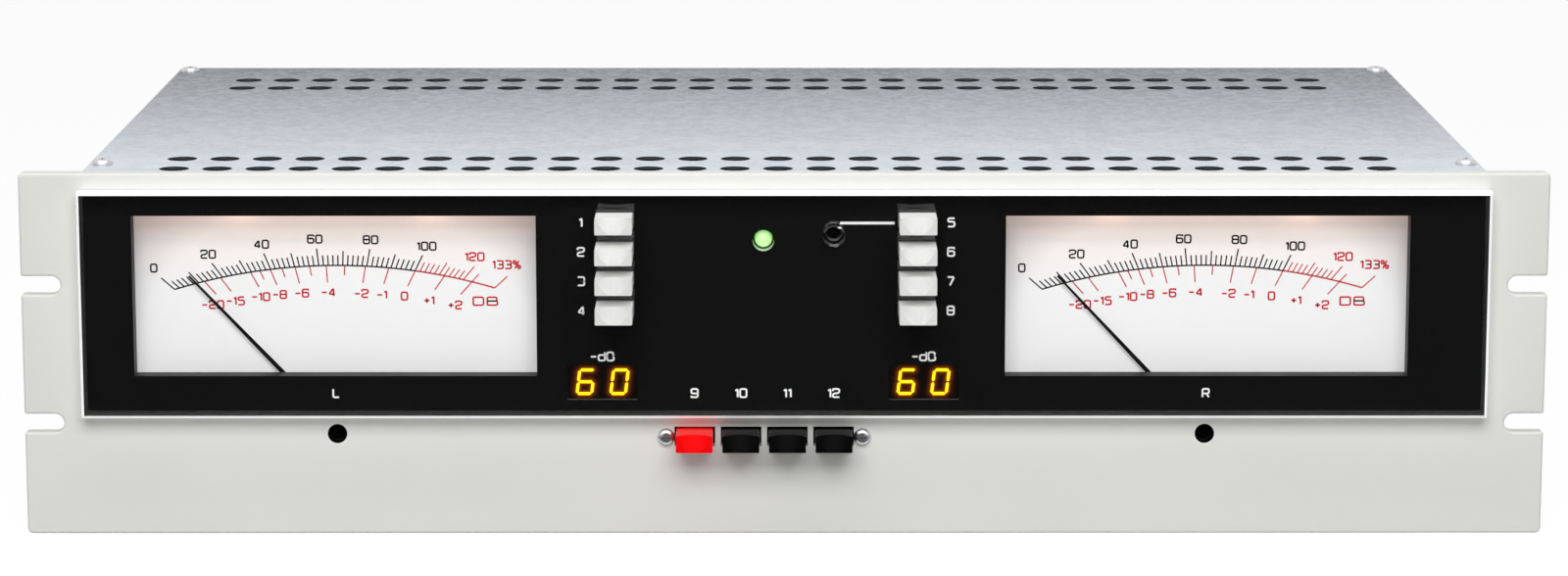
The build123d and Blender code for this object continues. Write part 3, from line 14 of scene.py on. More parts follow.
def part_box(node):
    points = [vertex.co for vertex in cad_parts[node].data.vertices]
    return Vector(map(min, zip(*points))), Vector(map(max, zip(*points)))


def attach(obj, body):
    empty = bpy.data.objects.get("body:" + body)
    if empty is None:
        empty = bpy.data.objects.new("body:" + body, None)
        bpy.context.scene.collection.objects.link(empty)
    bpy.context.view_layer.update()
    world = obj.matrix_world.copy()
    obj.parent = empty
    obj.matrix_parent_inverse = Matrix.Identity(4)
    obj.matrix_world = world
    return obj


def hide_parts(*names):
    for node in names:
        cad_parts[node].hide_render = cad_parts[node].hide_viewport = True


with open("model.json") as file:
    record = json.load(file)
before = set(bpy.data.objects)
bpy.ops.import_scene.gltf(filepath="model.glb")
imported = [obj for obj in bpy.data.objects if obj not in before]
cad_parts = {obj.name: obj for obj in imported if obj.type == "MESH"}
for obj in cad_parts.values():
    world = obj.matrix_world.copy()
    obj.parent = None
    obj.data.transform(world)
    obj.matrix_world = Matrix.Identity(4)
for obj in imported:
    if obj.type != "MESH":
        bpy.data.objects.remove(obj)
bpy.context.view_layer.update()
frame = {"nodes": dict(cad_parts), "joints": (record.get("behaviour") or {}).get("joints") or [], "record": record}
nodes = frame["nodes"]
record = frame["record"]
BODY_OF = {node: body for body, group in record["behaviour"]["bodies"].items() for node in group}
JOINTS = {joint["name"]: joint for joint in frame["joints"]}
METERS = ("left", "right")
BANK = (1, 2, 3, 4)
MM = 0.001

# Camera at the photograph's viewing angle
CAMERA_PLACE = (-2.12 * MM, -1439.31 * MM, 280.38 * MM)
CAMERA_PITCH = radians(10.233)
CAMERA_YAW = 0.0014
CAMERA_LENS = 105.9
CAMERA_SENSOR = 36.0
CAMERA_NEAR = 0.05

# Copies of the solids and the rounding of their edges
WELD = 0.001 * MM
FLAT_ANGLE = radians(0.5)
EDGE_ANGLE = radians(32)
EDGE_SEGMENTS = 2
FINE_EDGE = 0.1 * MM
MOULDED_EDGE = 0.15 * MM
COVER_EDGE = 0.16 * MM
SHEET_EDGE = 0.2 * MM
SOFT_EDGE = 0.3 * MM
CAP_EDGE = 0.4 * MM
WINDING_EDGE = 0.8 * MM
FILM_SET_BACK = 0.04 * MM

# Shares of a face's normal along an axis that say whether it looks that way
FACING = 0.5
FACING_UP = 0.7
FACING_SQUARELY = 0.98

# Reaches that tell the faces of a piece apart
PLATE_RIM = 1.2 * MM
DRIVE_REACH = 1.2 * MM
BOARD_T = 1.7 * MM
CAN_RIM = 1.5 * MM

# Rear fittings
JACK_COUNT = 3
JACK_BORE_R = 3.65 * MM
JACK_BORE_D = 8.0 * MM
JACK_PIN_R = 0.75 * MM
STRIP_WAYS = 6
STRIP_POCKET_D = 7.0 * MM
STRIP_SCREW_R = 2.85 * MM
BLADE_COUNT = 3
BLADE_W = 2.1 * MM
BLADE_H = 4.1 * MM
BLADE_PITCH = 7.0 * MM
BLADE_Z = -3.0 * MM

# Finishes, with the span that most values of a noise lie in
NOISE_SPAN = (0.3, 0.7)
GLOSS_DRIFT = 0.05
ZINC_CLOUDS = 0.3
# Share of the zinc's colour left at the far end of its Y span: painted shade
ZINC_PAINTED_SHADE_FAR = 0.24
# Length of one stripe of the wave texture at scale 1, in metres
WAVE_LENGTH = 2 * pi / 20

# Dial faces, with painted light and shade: warm above this share of their height, dark at the corners, and glowing
# as if lit by the lamps at the top
DIAL_LAMP_TINT_FROM = 0.6
DIAL_CORNER_SHADE = (66 * MM, 90 * MM)
DIAL_PAINTED_LAMP_REACH = 12 * MM
DIAL_PAINTED_LAMP_FULL = 5 * MM
DIAL_PAINTED_GLOW_BELOW = 0.45

# Glow round the digits
HALO_STEP = 0.3 * MM
HALO_HALF_W = 11.0 * MM
HALO_MARGIN = 0.1 * MM
HALO_FADE = 0.45 * MM

# Floor, card before the panel, and world
PAPER_HALF = 12.0
PAPER_COLOUR = (0.5, 0.5, 0.5, 1.0)
PAPER_LIGHT = 1.12
PAPER_GLOW = 0.84
CARD_HALF = 2.5
CARD_FRONT = -3.0
CARD_BACK = -0.04
CARD_LIFT = 1.0 * MM
FILL = 0.1
# Kinds of ray that see the paper and the world white
SEEN_DIRECTLY = ("Is Camera Ray", "Is Glossy Ray", "Is Transmission Ray")

# Printed marks
INK = 0.02 * MM
DIAL_PLATE_T = 0.8 * MM
ARC_R = 176.0 * MM
ARC_TOP = 27.4 * MM
SCALE_START = -51.6 * MM
SCALE_STEP = 0.764 * MM
SCALE_END = 133
SCALE_RED = 100
SCALE_TICKED = 120
TICK_EVERY = 2
TICK_TENS_EVERY = 10
TICK_SHORT = 3.3 * MM
TICK_TENS = 4.6 * MM
TICK_LONG = 5.6 * MM
TICK_W = 0.44 * MM
RED_TICK_W = 0.38 * MM
ARC_W = 0.48 * MM
NUMBER_H = 3.0 * MM
NUMBER_LINE = 0.54 * MM
NUMBER_STRETCH = 1.15
DECIBEL_LONG = 5.5 * MM
DECIBEL_SHORT = 3.1 * MM
DECIBELS = (-20, -15, -10, -9, -8, -7, -6, -5, -4, -3, -2, -1, 0, 1, 2)
# Percent at which the dial prints the decibels that leave the law
DECIBELS_AT = {-20: 12.4, -15: 19.1, 2: 123.6}
# Middle of each number from the end of its mark, as (x, z) in mm
NUMBER_ASIDE = {0: (-2.3, 3.2), 20: (-1.1, 2.9), 40: (-0.7, 2.9), 60: (-0.5, 3.0), 80: (0.3, 3.0),
                100: (1.3, 2.9), 120: (0.1, 3.1), 133: (-0.3, 3.7)}
DECIBEL_ASIDE = {-20: (-1.1, -3.4), -15: (1.3, -3.1), -10: (0.5, -3.1), -8: (0.8, -3.0), -6: (0.7, -3.1),
                 -4: (0.2, -3.1), -2: (-0.5, -3.4), -1: (-0.7, -3.4), 0: (-1.1, -3.2), 1: (-1.9, -3.4),
                 2: (-1.8, -3.4)}
UNIT_ASIDE = (-3.0, -4.3)
UNIT_H = 3.1 * MM
UNIT_STRETCH = 1.9
HALF_DISPLAY = 11.1 * MM
LABEL_H = 3.2 * MM
LABEL_LINE = 0.56 * MM
LABEL_ASIDE = 4.9 * MM
LABEL_DROP = 1.1 * MM
LOWER_LABEL_Z = -12.0 * MM
LABEL_ABOVE = 2.9 * MM
LEADER_START = 1.9 * MM
LEADER_GAP = 1.3 * MM
LEADER_Z = 42.6 * MM
LEADER_W = 0.85 * MM

# Wide square numerals and signs as strokes, on a grid of 4 by 6
GLYPH_H = 6
GLYPH_GAP = 1.5
GLYPH_CORNER = 1.3
CORNER_STEPS = 4
GLYPHS = {
    "0": [[(0, 0), (0, 6), (4, 6), (4, 0), (0, 0)]],
    "1": [[(0, 4.6), (1.4, 6), (1.4, 0)]],
    "2": [[(0, 4.4), (0, 6), (4, 6), (4, 3.2), (0, 2.4), (0, 0), (4, 0)]],
    "3": [[(0, 6), (4, 6), (4, 3.1), (1, 3.1)], [(1, 3.1), (4, 3.1), (4, 0), (0, 0)]],
    "4": [[(3.1, 0), (3.1, 6), (0, 1.5), (4, 1.5)]],
    "5": [[(4, 6), (0.2, 6), (0, 3.5), (4, 3.5), (4, 0), (0, 0)]],
    "6": [[(4, 5), (4, 6), (0, 6), (0, 0), (4, 0), (4, 3.5), (0, 3.5)]],
    "7": [[(0, 6), (4, 6), (1.4, 0)]],
    "8": [[(0, 3.1), (0, 6), (4, 6), (4, 3.1), (0, 3.1)], [(0, 3.1), (0, 0), (4, 0), (4, 3.1)]],
    "9": [[(0, 1), (0, 0), (4, 0), (4, 6), (0, 6), (0, 2.7), (4, 2.7)]],
    "-": [[(0, 2.8), (3.3, 2.8)]],
    "+": [[(0, 2.8), (3.4, 2.8)], [(1.7, 1.0), (1.7, 4.6)]],
    "%": [[(0, 3.6), (0, 6), (1.6, 6), (1.6, 3.6), (0, 3.6)],
          [(3, 0), (3, 2.4), (4.6, 2.4), (4.6, 0), (3, 0)],
          [(1, 0), (3.6, 6)]],
    "d": [[(4, 6), (4, 0), (0, 0), (0, 4), (4, 4)]],
    "D": [[(0, 0), (0, 6)], [(0, 6), (4, 6), (4, 0), (0, 0)]],
    "B": [[(0, 0), (0, 6), (3.7, 6), (3.7, 3.1), (0, 3.1)], [(0, 3.1), (4, 3.1), (4, 0), (0, 0)]],
    "L": [[(0, 6), (0, 0), (3.6, 0)]],
    "R": [[(0, 0), (0, 6), (4, 6), (4, 2.6), (0, 2.6)], [(2.4, 2.6), (4, 0)]],
}


def srgb(red, green, blue):
    """A colour from 0 to 255 a channel, as Blender's linear colour."""
    linear = [
        c / 255 / 12.92 if c <= 10 else ((c / 255 + 0.055) / 1.055) ** 2.4 for c in (red, green, blue)
    ]
    return (*linear, 1.0)


def shaded(colour, factor):
    """The same colour, darker or lighter."""
    return (*[min(1.0, c * factor) for c in colour[:3]], 1.0)


def new_material(name):
    """An empty finish: its material, node tree and main shader."""
    material = bpy.data.materials.new(name)
    material.use_nodes = True
    return material, material.node_tree, material.node_tree.nodes["Principled BSDF"]


def put(tree, value, socket):
    """Sets a socket to a number or a colour, or links another node's output to it."""
    if isinstance(value, bpy.types.NodeSocket):
        tree.links.new(value, socket)
    else:
        socket.default_value = value


def set_sockets(shader, sockets):
    """Sets a shader's own sockets, given by name."""
    for socket, value in sockets.items():
        shader.inputs[socket].default_value = value


def coordinates(tree, stretch=(1, 1, 1)):
    """Places on the piece in metres, multiplied by stretch."""
    place = tree.nodes.new("ShaderNodeTexCoord").outputs["Object"]
    scaled = tree.nodes.new("ShaderNodeVectorMath")
    scaled.operation = "MULTIPLY"
    scaled.inputs[1].default_value = stretch
    tree.links.new(place, scaled.inputs[0])
    return scaled.outputs[0]


def noise(tree, scale, detail=2.0, stretch=(1, 1, 1)):
    """Cloudy values near 0.5, with so many clouds to a metre."""
    made = tree.nodes.new("ShaderNodeTexNoise")
    made.inputs["Scale"].default_value = scale
    made.inputs["Detail"].default_value = detail
    tree.links.new(coordinates(tree, stretch), made.inputs["Vector"])
    return made.outputs["Fac"]


def rescale(tree, value, low, high, to_low, to_high):
    """Turns the span from low to high into the span from to_low to to_high."""
    made = tree.nodes.new("ShaderNodeMapRange")
    put(tree, value, made.inputs["Value"])
    for socket, number in zip(made.inputs[1:5], (low, high, to_low, to_high)):
        socket.default_value = number
    return made.outputs["Result"]


def layer(tree, scale, detail=2.0, span=NOISE_SPAN, most=1.0, stretch=(1, 1, 1)):
    """Noise with the span of its values turned into 0 to most."""
    return rescale(tree, noise(tree, scale, detail, stretch), *span, 0.0, most)


def mixed(tree, factor, first, second):
    """Colour that goes from first to second with the factor."""
    made = tree.nodes.new("ShaderNodeMix")
    made.data_type = "RGBA"
    colour_sockets = made.inputs[6:8]
    put(tree, factor, made.inputs[0])
    put(tree, first, colour_sockets[0])
    put(tree, second, colour_sockets[1])
    return made.outputs[2]


def bumped(tree, height, depth):
    """A normal that follows a height of 0 to 1 times depth."""
    made = tree.nodes.new("ShaderNodeBump")
    made.inputs["Distance"].default_value = depth
    put(tree, height, made.inputs["Height"])
    return made.outputs["Normal"]


def grained(tree, shader, scale, depth, detail=2.0):
    """Gives a shader a bumpy grain, with so many grains to a metre."""
    put(tree, bumped(tree, noise(tree, scale, detail), depth), shader.inputs["Normal"])


def axis_value(tree, axis):
    """A place's own X, Y or Z in metres."""
    split = tree.nodes.new("ShaderNodeSeparateXYZ")
    tree.links.new(coordinates(tree), split.inputs[0])
    return split.outputs[axis]


def distance(tree, centre):
    """How far a place on the piece lies from a centre, in metres."""
    offset = tree.nodes.new("ShaderNodeVectorMath")
    offset.operation = "DISTANCE"
    tree.links.new(coordinates(tree), offset.inputs[0])
    offset.inputs[1].default_value = centre
    return offset.outputs["Value"]


def any_ray(tree, *kinds):
    """1 for rays of these kinds and 0 for the rest."""
    rays = tree.nodes.new("ShaderNodeLightPath")
    seen = rays.outputs[kinds[0]]
    for kind in kinds[1:]:
        either = tree.nodes.new("ShaderNodeMath")
        either.operation = "MAXIMUM"
        tree.links.new(seen, either.inputs[0])
        tree.links.new(rays.outputs[kind], either.inputs[1])
        seen = either.outputs[0]
    return seen


def blend_shaders(tree, factor, first, second):
    """Makes the surface go from the first shader to the second with the factor."""
    blend = tree.nodes.new("ShaderNodeMixShader")
    put(tree, factor, blend.inputs[0])
    tree.links.new(first.outputs[0], blend.inputs[1])
    tree.links.new(second.outputs[0], blend.inputs[2])
    tree.links.new(blend.outputs[0], tree.nodes["Material Output"].inputs["Surface"])


def finish(name, colour, roughness, metallic=0.0, patch=60.0, shade=0.05, grain=1500.0,
           depth=0.006 * MM, sockets=None):
    """A finish whose colour and gloss drift in soft patches over a fine grain."""
    material, tree, shader = new_material(name)
    patches = layer(tree, patch, detail=3.0)
    put(tree, mixed(tree, patches, shaded(colour, 1 - shade), shaded(colour, 1 + shade)),
        shader.inputs["Base Color"])
    put(tree, rescale(tree, patches, 0.0, 1.0, roughness - GLOSS_DRIFT, roughness + GLOSS_DRIFT),
        shader.inputs["Roughness"])
    grained(tree, shader, grain, depth)
    shader.inputs["Metallic"].default_value = metallic
    set_sockets(shader, sockets or {})
    return material


def zinc(name, colour, roughness, painted_shade_span=(0.0, 1.0), metallic=0.85):
    """Zinc-coated sheet: fine mottled crystals, pits and scratches, with painted shade that darkens it from one Y
    to the other as the light on it falls off towards the rear.
    """
    material, tree, shader = new_material(name)
    crystal = tree.nodes.new("ShaderNodeTexVoronoi")
    crystal.inputs["Scale"].default_value = 420.0
    tree.links.new(coordinates(tree, stretch=(1.0, 0.8, 1.0)), crystal.inputs["Vector"])
    flake = tree.nodes.new("ShaderNodeSeparateColor")
    tree.links.new(crystal.outputs["Color"], flake.inputs[0])
    flakes = rescale(tree, flake.outputs[0], 0.0, 1.0, 0.0, 0.2)
    clouds = layer(tree, scale=60.0, detail=6.0, span=(0.36, 0.64), most=ZINC_CLOUDS)
    scratches = layer(tree, scale=900.0, span=(0.66, 0.74), most=0.35, stretch=(0.05, 1.0, 1.0))
    pits = layer(tree, scale=760.0, detail=1.0, span=(0.7, 0.76), most=0.55)
    # Painted shade: the colour darkens along Y over the span
    base = mixed(tree, rescale(tree, axis_value(tree, 1), *painted_shade_span, 0.0, 1.0), colour, shaded(colour, ZINC_PAINTED_SHADE_FAR))
    for marks, shade in ((clouds, 0.6), (flakes, 1.25), (scratches, 1.3), (pits, 0.3)):
        base = mixed(tree, marks, base, shaded(colour, shade))
    put(tree, base, shader.inputs["Base Color"])
    put(tree, rescale(tree, clouds, 0.0, ZINC_CLOUDS, roughness - 0.05, roughness + 0.07),
        shader.inputs["Roughness"])
    grained(tree, shader, scale=520.0, depth=0.012 * MM, detail=4.0)
    set_sockets(shader, {"Metallic": metallic, "Specular IOR Level": 0.2})
    return material


def acrylic():
    """Clear cast sheet. Lamps shine straight through it."""
    material, tree, shader = new_material("clear_acrylic")
    set_sockets(shader, {"Base Color": (0.985, 0.99, 0.99, 1.0), "Transmission Weight": 1.0, "IOR": 1.49,
                         "Specular IOR Level": 0.035, "Roughness": 0.0})
    grained(tree, shader, scale=14.0, depth=0.004 * MM)
    clear = tree.nodes.new("ShaderNodeBsdfTransparent")
    blend_shaders(tree, any_ray(tree, "Is Shadow Ray", "Is Diffuse Ray"), shader, clear)
    return material


def dial_paper(side):
    """Dial face: warm white, with painted lamp light that turns it pinkish and glowing at its top, a faint painted
    glow all over, and painted shade darkening its upper corners.
    """
    material, tree, shader = new_material(f"{side}_dial_paper")
    low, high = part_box(f"{side}_meter_dial")
    white, warm, dark = srgb(225, 224, 224), srgb(238, 214, 204), srgb(110, 102, 102)
    height = axis_value(tree, 2)
    # Painted lamp light: a pink tint over the top of the dial
    rise = rescale(tree, height, low.z + DIAL_LAMP_TINT_FROM * (high.z - low.z), high.z, 0.0, 1.0)
    foot = ((low.x + high.x) / 2, low.y, low.z)
    # Painted shade towards the upper corners
    corner = rescale(tree, distance(tree, foot), *DIAL_CORNER_SHADE, 0.0, 0.6)
    colour = mixed(tree, corner, mixed(tree, rise, white, warm), dark)
    clouds = layer(tree, scale=45.0, detail=3.0, most=0.06)
    put(tree, mixed(tree, clouds, colour, srgb(200, 196, 196)), shader.inputs["Base Color"])
    # Painted lamp light: the dial glows pink near its top and faintly white below
    lit = rescale(tree, height, high.z - DIAL_PAINTED_LAMP_REACH, high.z - DIAL_PAINTED_LAMP_FULL, 0.0, 1.0)
    glow = mixed(tree, lit, shaded(white, DIAL_PAINTED_GLOW_BELOW), warm)
    put(tree, mixed(tree, corner, glow, shaded(dark, DIAL_PAINTED_GLOW_BELOW)), shader.inputs["Emission Color"])
    set_sockets(shader, {"Roughness": 0.6, "Emission Strength": 0.75})
    grained(tree, shader, scale=2600.0, depth=0.004 * MM)
    return material


def glowing(name, colour, strength):
    """A lit part whose light varies a little over its body."""
    material, tree, shader = new_material(name)
    set_sockets(shader, {"Base Color": colour, "Roughness": 0.25, "Emission Strength": strength})
    light = mixed(tree, layer(tree, scale=700.0), shaded(colour, 0.85), colour)
    put(tree, light, shader.inputs["Emission Color"])
    return material


def pilot_lens(tip, radius):
    """Lit lens: a pale core that turns to deep green at its rim."""
    material, tree, shader = new_material("pilot_lens")
    rim = rescale(tree, distance(tree, tip), 0.75 * radius, 1.25 * radius, 0.0, 1.0)
    light = mixed(tree, rim, srgb(232, 250, 196), srgb(60, 180, 40))
    put(tree, light, shader.inputs["Emission Color"])
    set_sockets(shader, {"Base Color": srgb(60, 150, 50), "Roughness": 0.2, "Emission Strength": 0.85})
    grained(tree, shader, scale=900.0, depth=0.01 * MM)
    return material


def halo():
    """Orange light that the lit bars spread on the display's face."""
    material, tree, shader = new_material("display_halo")
    shine = tree.nodes.new("ShaderNodeAttribute")
    shine.attribute_name = "shine"
    light = mixed(tree, shine.outputs["Fac"], (0.0, 0.0, 0.0, 1.0), srgb(255, 120, 0))
    put(tree, light, shader.inputs["Emission Color"])
    set_sockets(shader, {"Base Color": srgb(5, 3, 3), "Roughness": 0.3, "Emission Strength": 0.4,
                         "Specular IOR Level": 0.04})
    grained(tree, shader, scale=1200.0, depth=0.003 * MM)
    return material


def striped(name, colour, other, pitch, axis, roughness):
    """Fine stripes of two colours along one axis, as on laminations or a flat cable."""
    material, tree, shader = new_material(name)
    wave = tree.nodes.new("ShaderNodeTexWave")
    wave.bands_direction = axis
    wave.inputs["Scale"].default_value = WAVE_LENGTH / pitch
    wave.inputs["Distortion"].default_value = 0.4
    tree.links.new(coordinates(tree), wave.inputs["Vector"])
    put(tree, mixed(tree, wave.outputs["Fac"], colour, other), shader.inputs["Base Color"])
    put(tree, bumped(tree, wave.outputs["Fac"], depth=0.05 * MM), shader.inputs["Normal"])
    shader.inputs["Roughness"].default_value = roughness
    return material


# Coat for the white caps, with a faint white emission that is painted light lifting their shaded tops
GLOSS_AND_GLOW = {"Coat Weight": 0.12, "Coat Roughness": 0.12, "Emission Color": (1, 1, 1, 1),
         "Emission Strength": 0.1}
DARK_GLOSS = {"Specular IOR Level": 0.16}
DULL = {"Specular IOR Level": 0.04}
PAINT = finish("panel_paint", srgb(219, 219, 214), 0.42, shade=0.012, patch=16.0, grain=1300.0,
               sockets={"Specular IOR Level": 0.3})
# Painted shade on all zinc: the cover darkens from its front edge to its rear edge, the other sheets over a metre
# of Y
COVER = zinc("cover_zinc", srgb(212, 219, 226), 0.64, (0.0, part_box("top_cover")[1].y), metallic=0.3)
# Dark zinc as painted shade on the covers' cut edges and the walls of their vents
VENT_WALL_SHADE = zinc("vent_wall", srgb(70, 74, 80), 0.5)
SHEET = zinc("sheet_zinc", srgb(188, 194, 202), 0.5, metallic=0.6)
PLATED = finish("plated_steel", srgb(200, 200, 203), 0.3, metallic=1.0, shade=0.08, patch=320.0)
# Dark metal as painted shade in the screws' cross recesses
RECESS_SHADE = finish("screw_recess", srgb(34, 34, 36), 0.6, metallic=0.5, shade=0.1)
WHITE_CAP = finish("white_cap", srgb(246, 246, 244), 0.34, shade=0.015, grain=2400.0, sockets=GLOSS_AND_GLOW)
RED_CAP = finish("red_cap", srgb(248, 10, 10), 0.22, shade=0.03, grain=2400.0, sockets=DARK_GLOSS)
BLACK_CAP = finish("black_cap", srgb(6, 6, 6), 0.16, shade=0.1, grain=2400.0,
                   sockets={"Specular IOR Level": 0.02})
# Painted shade: each cap's front and dish is a darker, duller copy of its cap colour, strongly so for the white
# caps
WHITE_DISH_SHADED = finish("white_dish", srgb(217, 217, 215), 0.5, shade=0.015, grain=2400.0, sockets=DULL)
RED_DISH_SHADED = finish("red_dish", srgb(240, 6, 10), 0.6, shade=0.03, grain=2400.0, sockets=DULL)
BLACK_DISH_SHADED = finish("black_dish", srgb(2, 2, 2), 0.6, shade=0.1, grain=2400.0, sockets=DULL)
MOULDING = finish("black_moulding", srgb(18, 18, 19), 0.5, shade=0.12, grain=1800.0, depth=0.02 * MM,
                  sockets={"Specular IOR Level": 0.2})
MASK = finish("mask_black", srgb(6, 6, 6), 0.55, shade=0.06, sockets=DULL)
PRINT_BLACK = finish("print_black", srgb(6, 6, 6), 0.6, shade=0.1, sockets=DULL)
PRINT_RED = finish("print_red", srgb(206, 14, 34), 0.6, shade=0.04, sockets=DULL)
PRINT_WHITE = finish("print_white", srgb(254, 254, 252), 0.6, shade=0.02)
# Near-black as painted shade in holes: the walls of the zero holes and the plate's openings, and the zero screws
# down in them
HOLE_SHADE_BLACK = finish("hole_black", srgb(8, 8, 8), 0.95, shade=0.06, sockets=DULL)
NEEDLE = finish("needle_black", srgb(10, 10, 10), 0.5, shade=0.1, sockets=DULL)
MAGNET = finish("magnet_steel", srgb(120, 120, 124), 0.45, metallic=0.9, shade=0.15, patch=220.0)
COPPER = striped("coil_copper", srgb(186, 104, 60), srgb(120, 60, 34), 0.12 * MM, "Y", 0.35)
LAMP = glowing("lamp_glow", srgb(255, 226, 196), 2.0)
SWITCH = finish("switch_body", srgb(40, 40, 42), 0.5, shade=0.1)
LENS = finish("display_lens", srgb(8, 5, 5), 0.25, shade=0.1, grain=900.0, depth=0.003 * MM,
              sockets={"Specular IOR Level": 0.1})
SEGMENT = glowing("segment_light", srgb(255, 216, 10), 1.0)
HALO = halo()
TRIMMER = finish("trimmer_blue", srgb(28, 66, 140), 0.4, shade=0.06)
INSULATOR = finish("insulator", srgb(226, 222, 208), 0.45, shade=0.04)
BRASS = finish("brass", srgb(206, 176, 104), 0.28, metallic=1.0, shade=0.08, patch=300.0)
BOARD = finish("board_laminate", srgb(34, 88, 46), 0.35, shade=0.12, patch=140.0, grain=700.0)
CHIP = finish("chip_plastic", srgb(24, 24, 26), 0.55, shade=0.15)
CORE = striped("core_laminations", srgb(70, 68, 66), srgb(38, 37, 37), 0.7 * MM, "Y", 0.5)
WINDING = striped("winding_tape", srgb(206, 178, 96), srgb(186, 152, 74), 6.0 * MM, "Z", 0.4)
SLEEVE = finish("capacitor_sleeve", srgb(34, 52, 98), 0.3, shade=0.08)
CAN_TOP = finish("can_top", srgb(188, 190, 192), 0.35, metallic=0.9, shade=0.08)
SINK = finish("sink_black", srgb(28, 28, 29), 0.45, metallic=0.4, shade=0.12)
RIBBON = striped("ribbon_grey", srgb(158, 160, 164), srgb(118, 120, 124), 1.27 * MM, "X", 0.5)
ACRYLIC = acrylic()
# Painted light: the plate's clear outer edge is pale and glows, in place of light caught in the acrylic
ACRYLIC_EDGE_GLOW = finish("acrylic_edge", srgb(236, 238, 238), 0.3, shade=0.03,
                      sockets={"Emission Color": (1, 1, 1, 1), "Emission Strength": 0.3})


def link(piece):
    """Puts an object in the scene."""
    bpy.context.scene.collection.objects.link(piece)
    return piece


def own_copy(node, *finishes, bevel=0.0, shift=None):
    """Stands for a CAD node with a welded copy that has smooth curves and, with bevel, rounded edges.

    finishes are one material, then pairs of another material and a test of a face's centre and normal.
    shift moves the copy's points.
    """
    shell = bmesh.new()
    shell.from_mesh(nodes[node].data)
    bmesh.ops.remove_doubles(shell, verts=shell.verts, dist=WELD)
    bmesh.ops.dissolve_limit(shell, angle_limit=FLAT_ANGLE, verts=shell.verts, edges=shell.edges)
    if shift:
        for vert in shell.verts:
            shift(vert.co)
    mesh = bpy.data.meshes.new(f"{node}_finish")
    shell.to_mesh(mesh)
    shell.free()
    if "custom_normal" in mesh.attributes:
        mesh.attributes.remove(mesh.attributes["custom_normal"])
    mesh.materials.clear()
    mesh.materials.append(finishes[0])
    for face in mesh.polygons:
        face.material_index = 0
    for index, (material, test) in enumerate(finishes[1:], start=1):
        mesh.materials.append(material)
        for face in mesh.polygons:
            if test(face.center, face.normal):
                face.material_index = index
    mesh.shade_smooth()
    piece = link(bpy.data.objects.new(f"{node}_finish", mesh))
    if bevel:
        edge = piece.modifiers.new("edge", "BEVEL")
        edge.width = bevel
        edge.segments = EDGE_SEGMENTS
        edge.limit_method = "ANGLE"
        edge.angle_limit = EDGE_ANGLE
        edge.harden_normals = True
    else:
        mesh.set_sharp_from_angle(angle=EDGE_ANGLE)
    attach(piece, BODY_OF[node])
    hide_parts(node)


def thin_piece(name, shell, material):
    """Makes a piece from a bmesh of ink or light and fixes it to the chassis."""
    mesh = bpy.data.meshes.new(name)
    shell.to_mesh(mesh)
    shell.free()
    mesh.materials.append(material)
    piece = link(bpy.data.objects.new(name, mesh))
    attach(piece, "chassis")


def rounded(points, radius):
    """The same line with a round arc of this radius, or the largest that fits, at each corner."""
    closed = points[0] == points[-1] and len(points) > 2
    smooth = [] if closed else [points[0]]
    corners = range(len(points) - 1) if closed else range(1, len(points) - 1)
    for i in corners:
        here = Vector(points[i])
        before, after = Vector(points[i - 1 if i else -2]), Vector(points[i + 1])
        back, onward = before - here, after - here
        reach = min(radius, 0.5 * back.length, 0.5 * onward.length)
        start, end = here + back.normalized() * reach, here + onward.normalized() * reach
        for step in range(CORNER_STEPS + 1):
            t = step / CORNER_STEPS
            smooth.append(tuple(start * (1 - t) ** 2 + here * 2 * t * (1 - t) + end * t**2))
    smooth.append(smooth[0] if closed else points[-1])
    return [here for here, after in zip(smooth, [*smooth[1:], None]) if here != after]


class Print:
    """Ink on a face that looks at the front: thin bars and letters, gathered in one mesh."""

    def __init__(self, face_y):
        self.shell = bmesh.new()
        self.face_y = face_y

    def strip(self, points, width):
        """A line of even width through the points, given as (x, z)."""
        sections = []
        last = len(points) - 1
        closed = points[0] == points[last] and last > 1
        for i, (x, z) in enumerate(points):
            before = points[last - 1 if closed and i == 0 else max(i - 1, 0)]
            after = points[1 if closed and i == last else min(i + 1, last)]
            run, rise = after[0] - before[0], after[1] - before[1]
            half = width / 2 / hypot(run, rise)
            section = []
            for side, depth in ((-1, 0), (-1, INK), (1, INK), (1, 0)):
                place = (x - side * rise * half, self.face_y - depth, z + side * run * half)
                section.append(self.shell.verts.new(place))
            sections.append(section)
        for here, onward in zip(sections, sections[1:]):
            for i, corner in enumerate(here):
                self.shell.faces.new((here[i - 1], corner, onward[i], onward[i - 1]))
        for end in (sections[0], sections[-1]):
            self.shell.faces.new(end)

    def letters(self, words, centre, height, line, stretch=NUMBER_STRETCH):
        """Signs of even strokes in a wide square face, centred at (x, z)."""
        unit = (height - line) / GLYPH_H
        wide = unit * stretch
        gap = GLYPH_GAP * wide
        widths = [max(x for stroke in GLYPHS[sign] for x, _ in stroke) * wide for sign in words]
        x = centre[0] - (sum(widths) + gap * (len(words) - 1)) / 2
        foot = centre[1] - unit * GLYPH_H / 2
        for sign, width in zip(words, widths):
            for stroke in GLYPHS[sign]:
                places = [(x + px * wide, foot + pz * unit) for px, pz in stroke]
                self.strip(rounded(places, GLYPH_CORNER * unit), line)
            x += width + gap

    def done(self, name, material, slot):
        """Makes the piece of all that was printed."""
        bmesh.ops.recalc_face_normals(self.shell, faces=self.shell.faces)
        thin_piece(name, self.shell, material)


def on_arc(value):
    """Where a scale value lies on the dial's arc, as (x, z) from the meter's centre line."""
    x = SCALE_START + SCALE_STEP * value
    return x, ARC_TOP - ARC_R + sqrt(ARC_R**2 - x**2)


def percent(decibels):
    """Percent at a level: as the dial prints it, or by the law of 20 decibels to a tenfold voltage."""
    return DECIBELS_AT.get(decibels, SCALE_RED * 10 ** (decibels / 20))


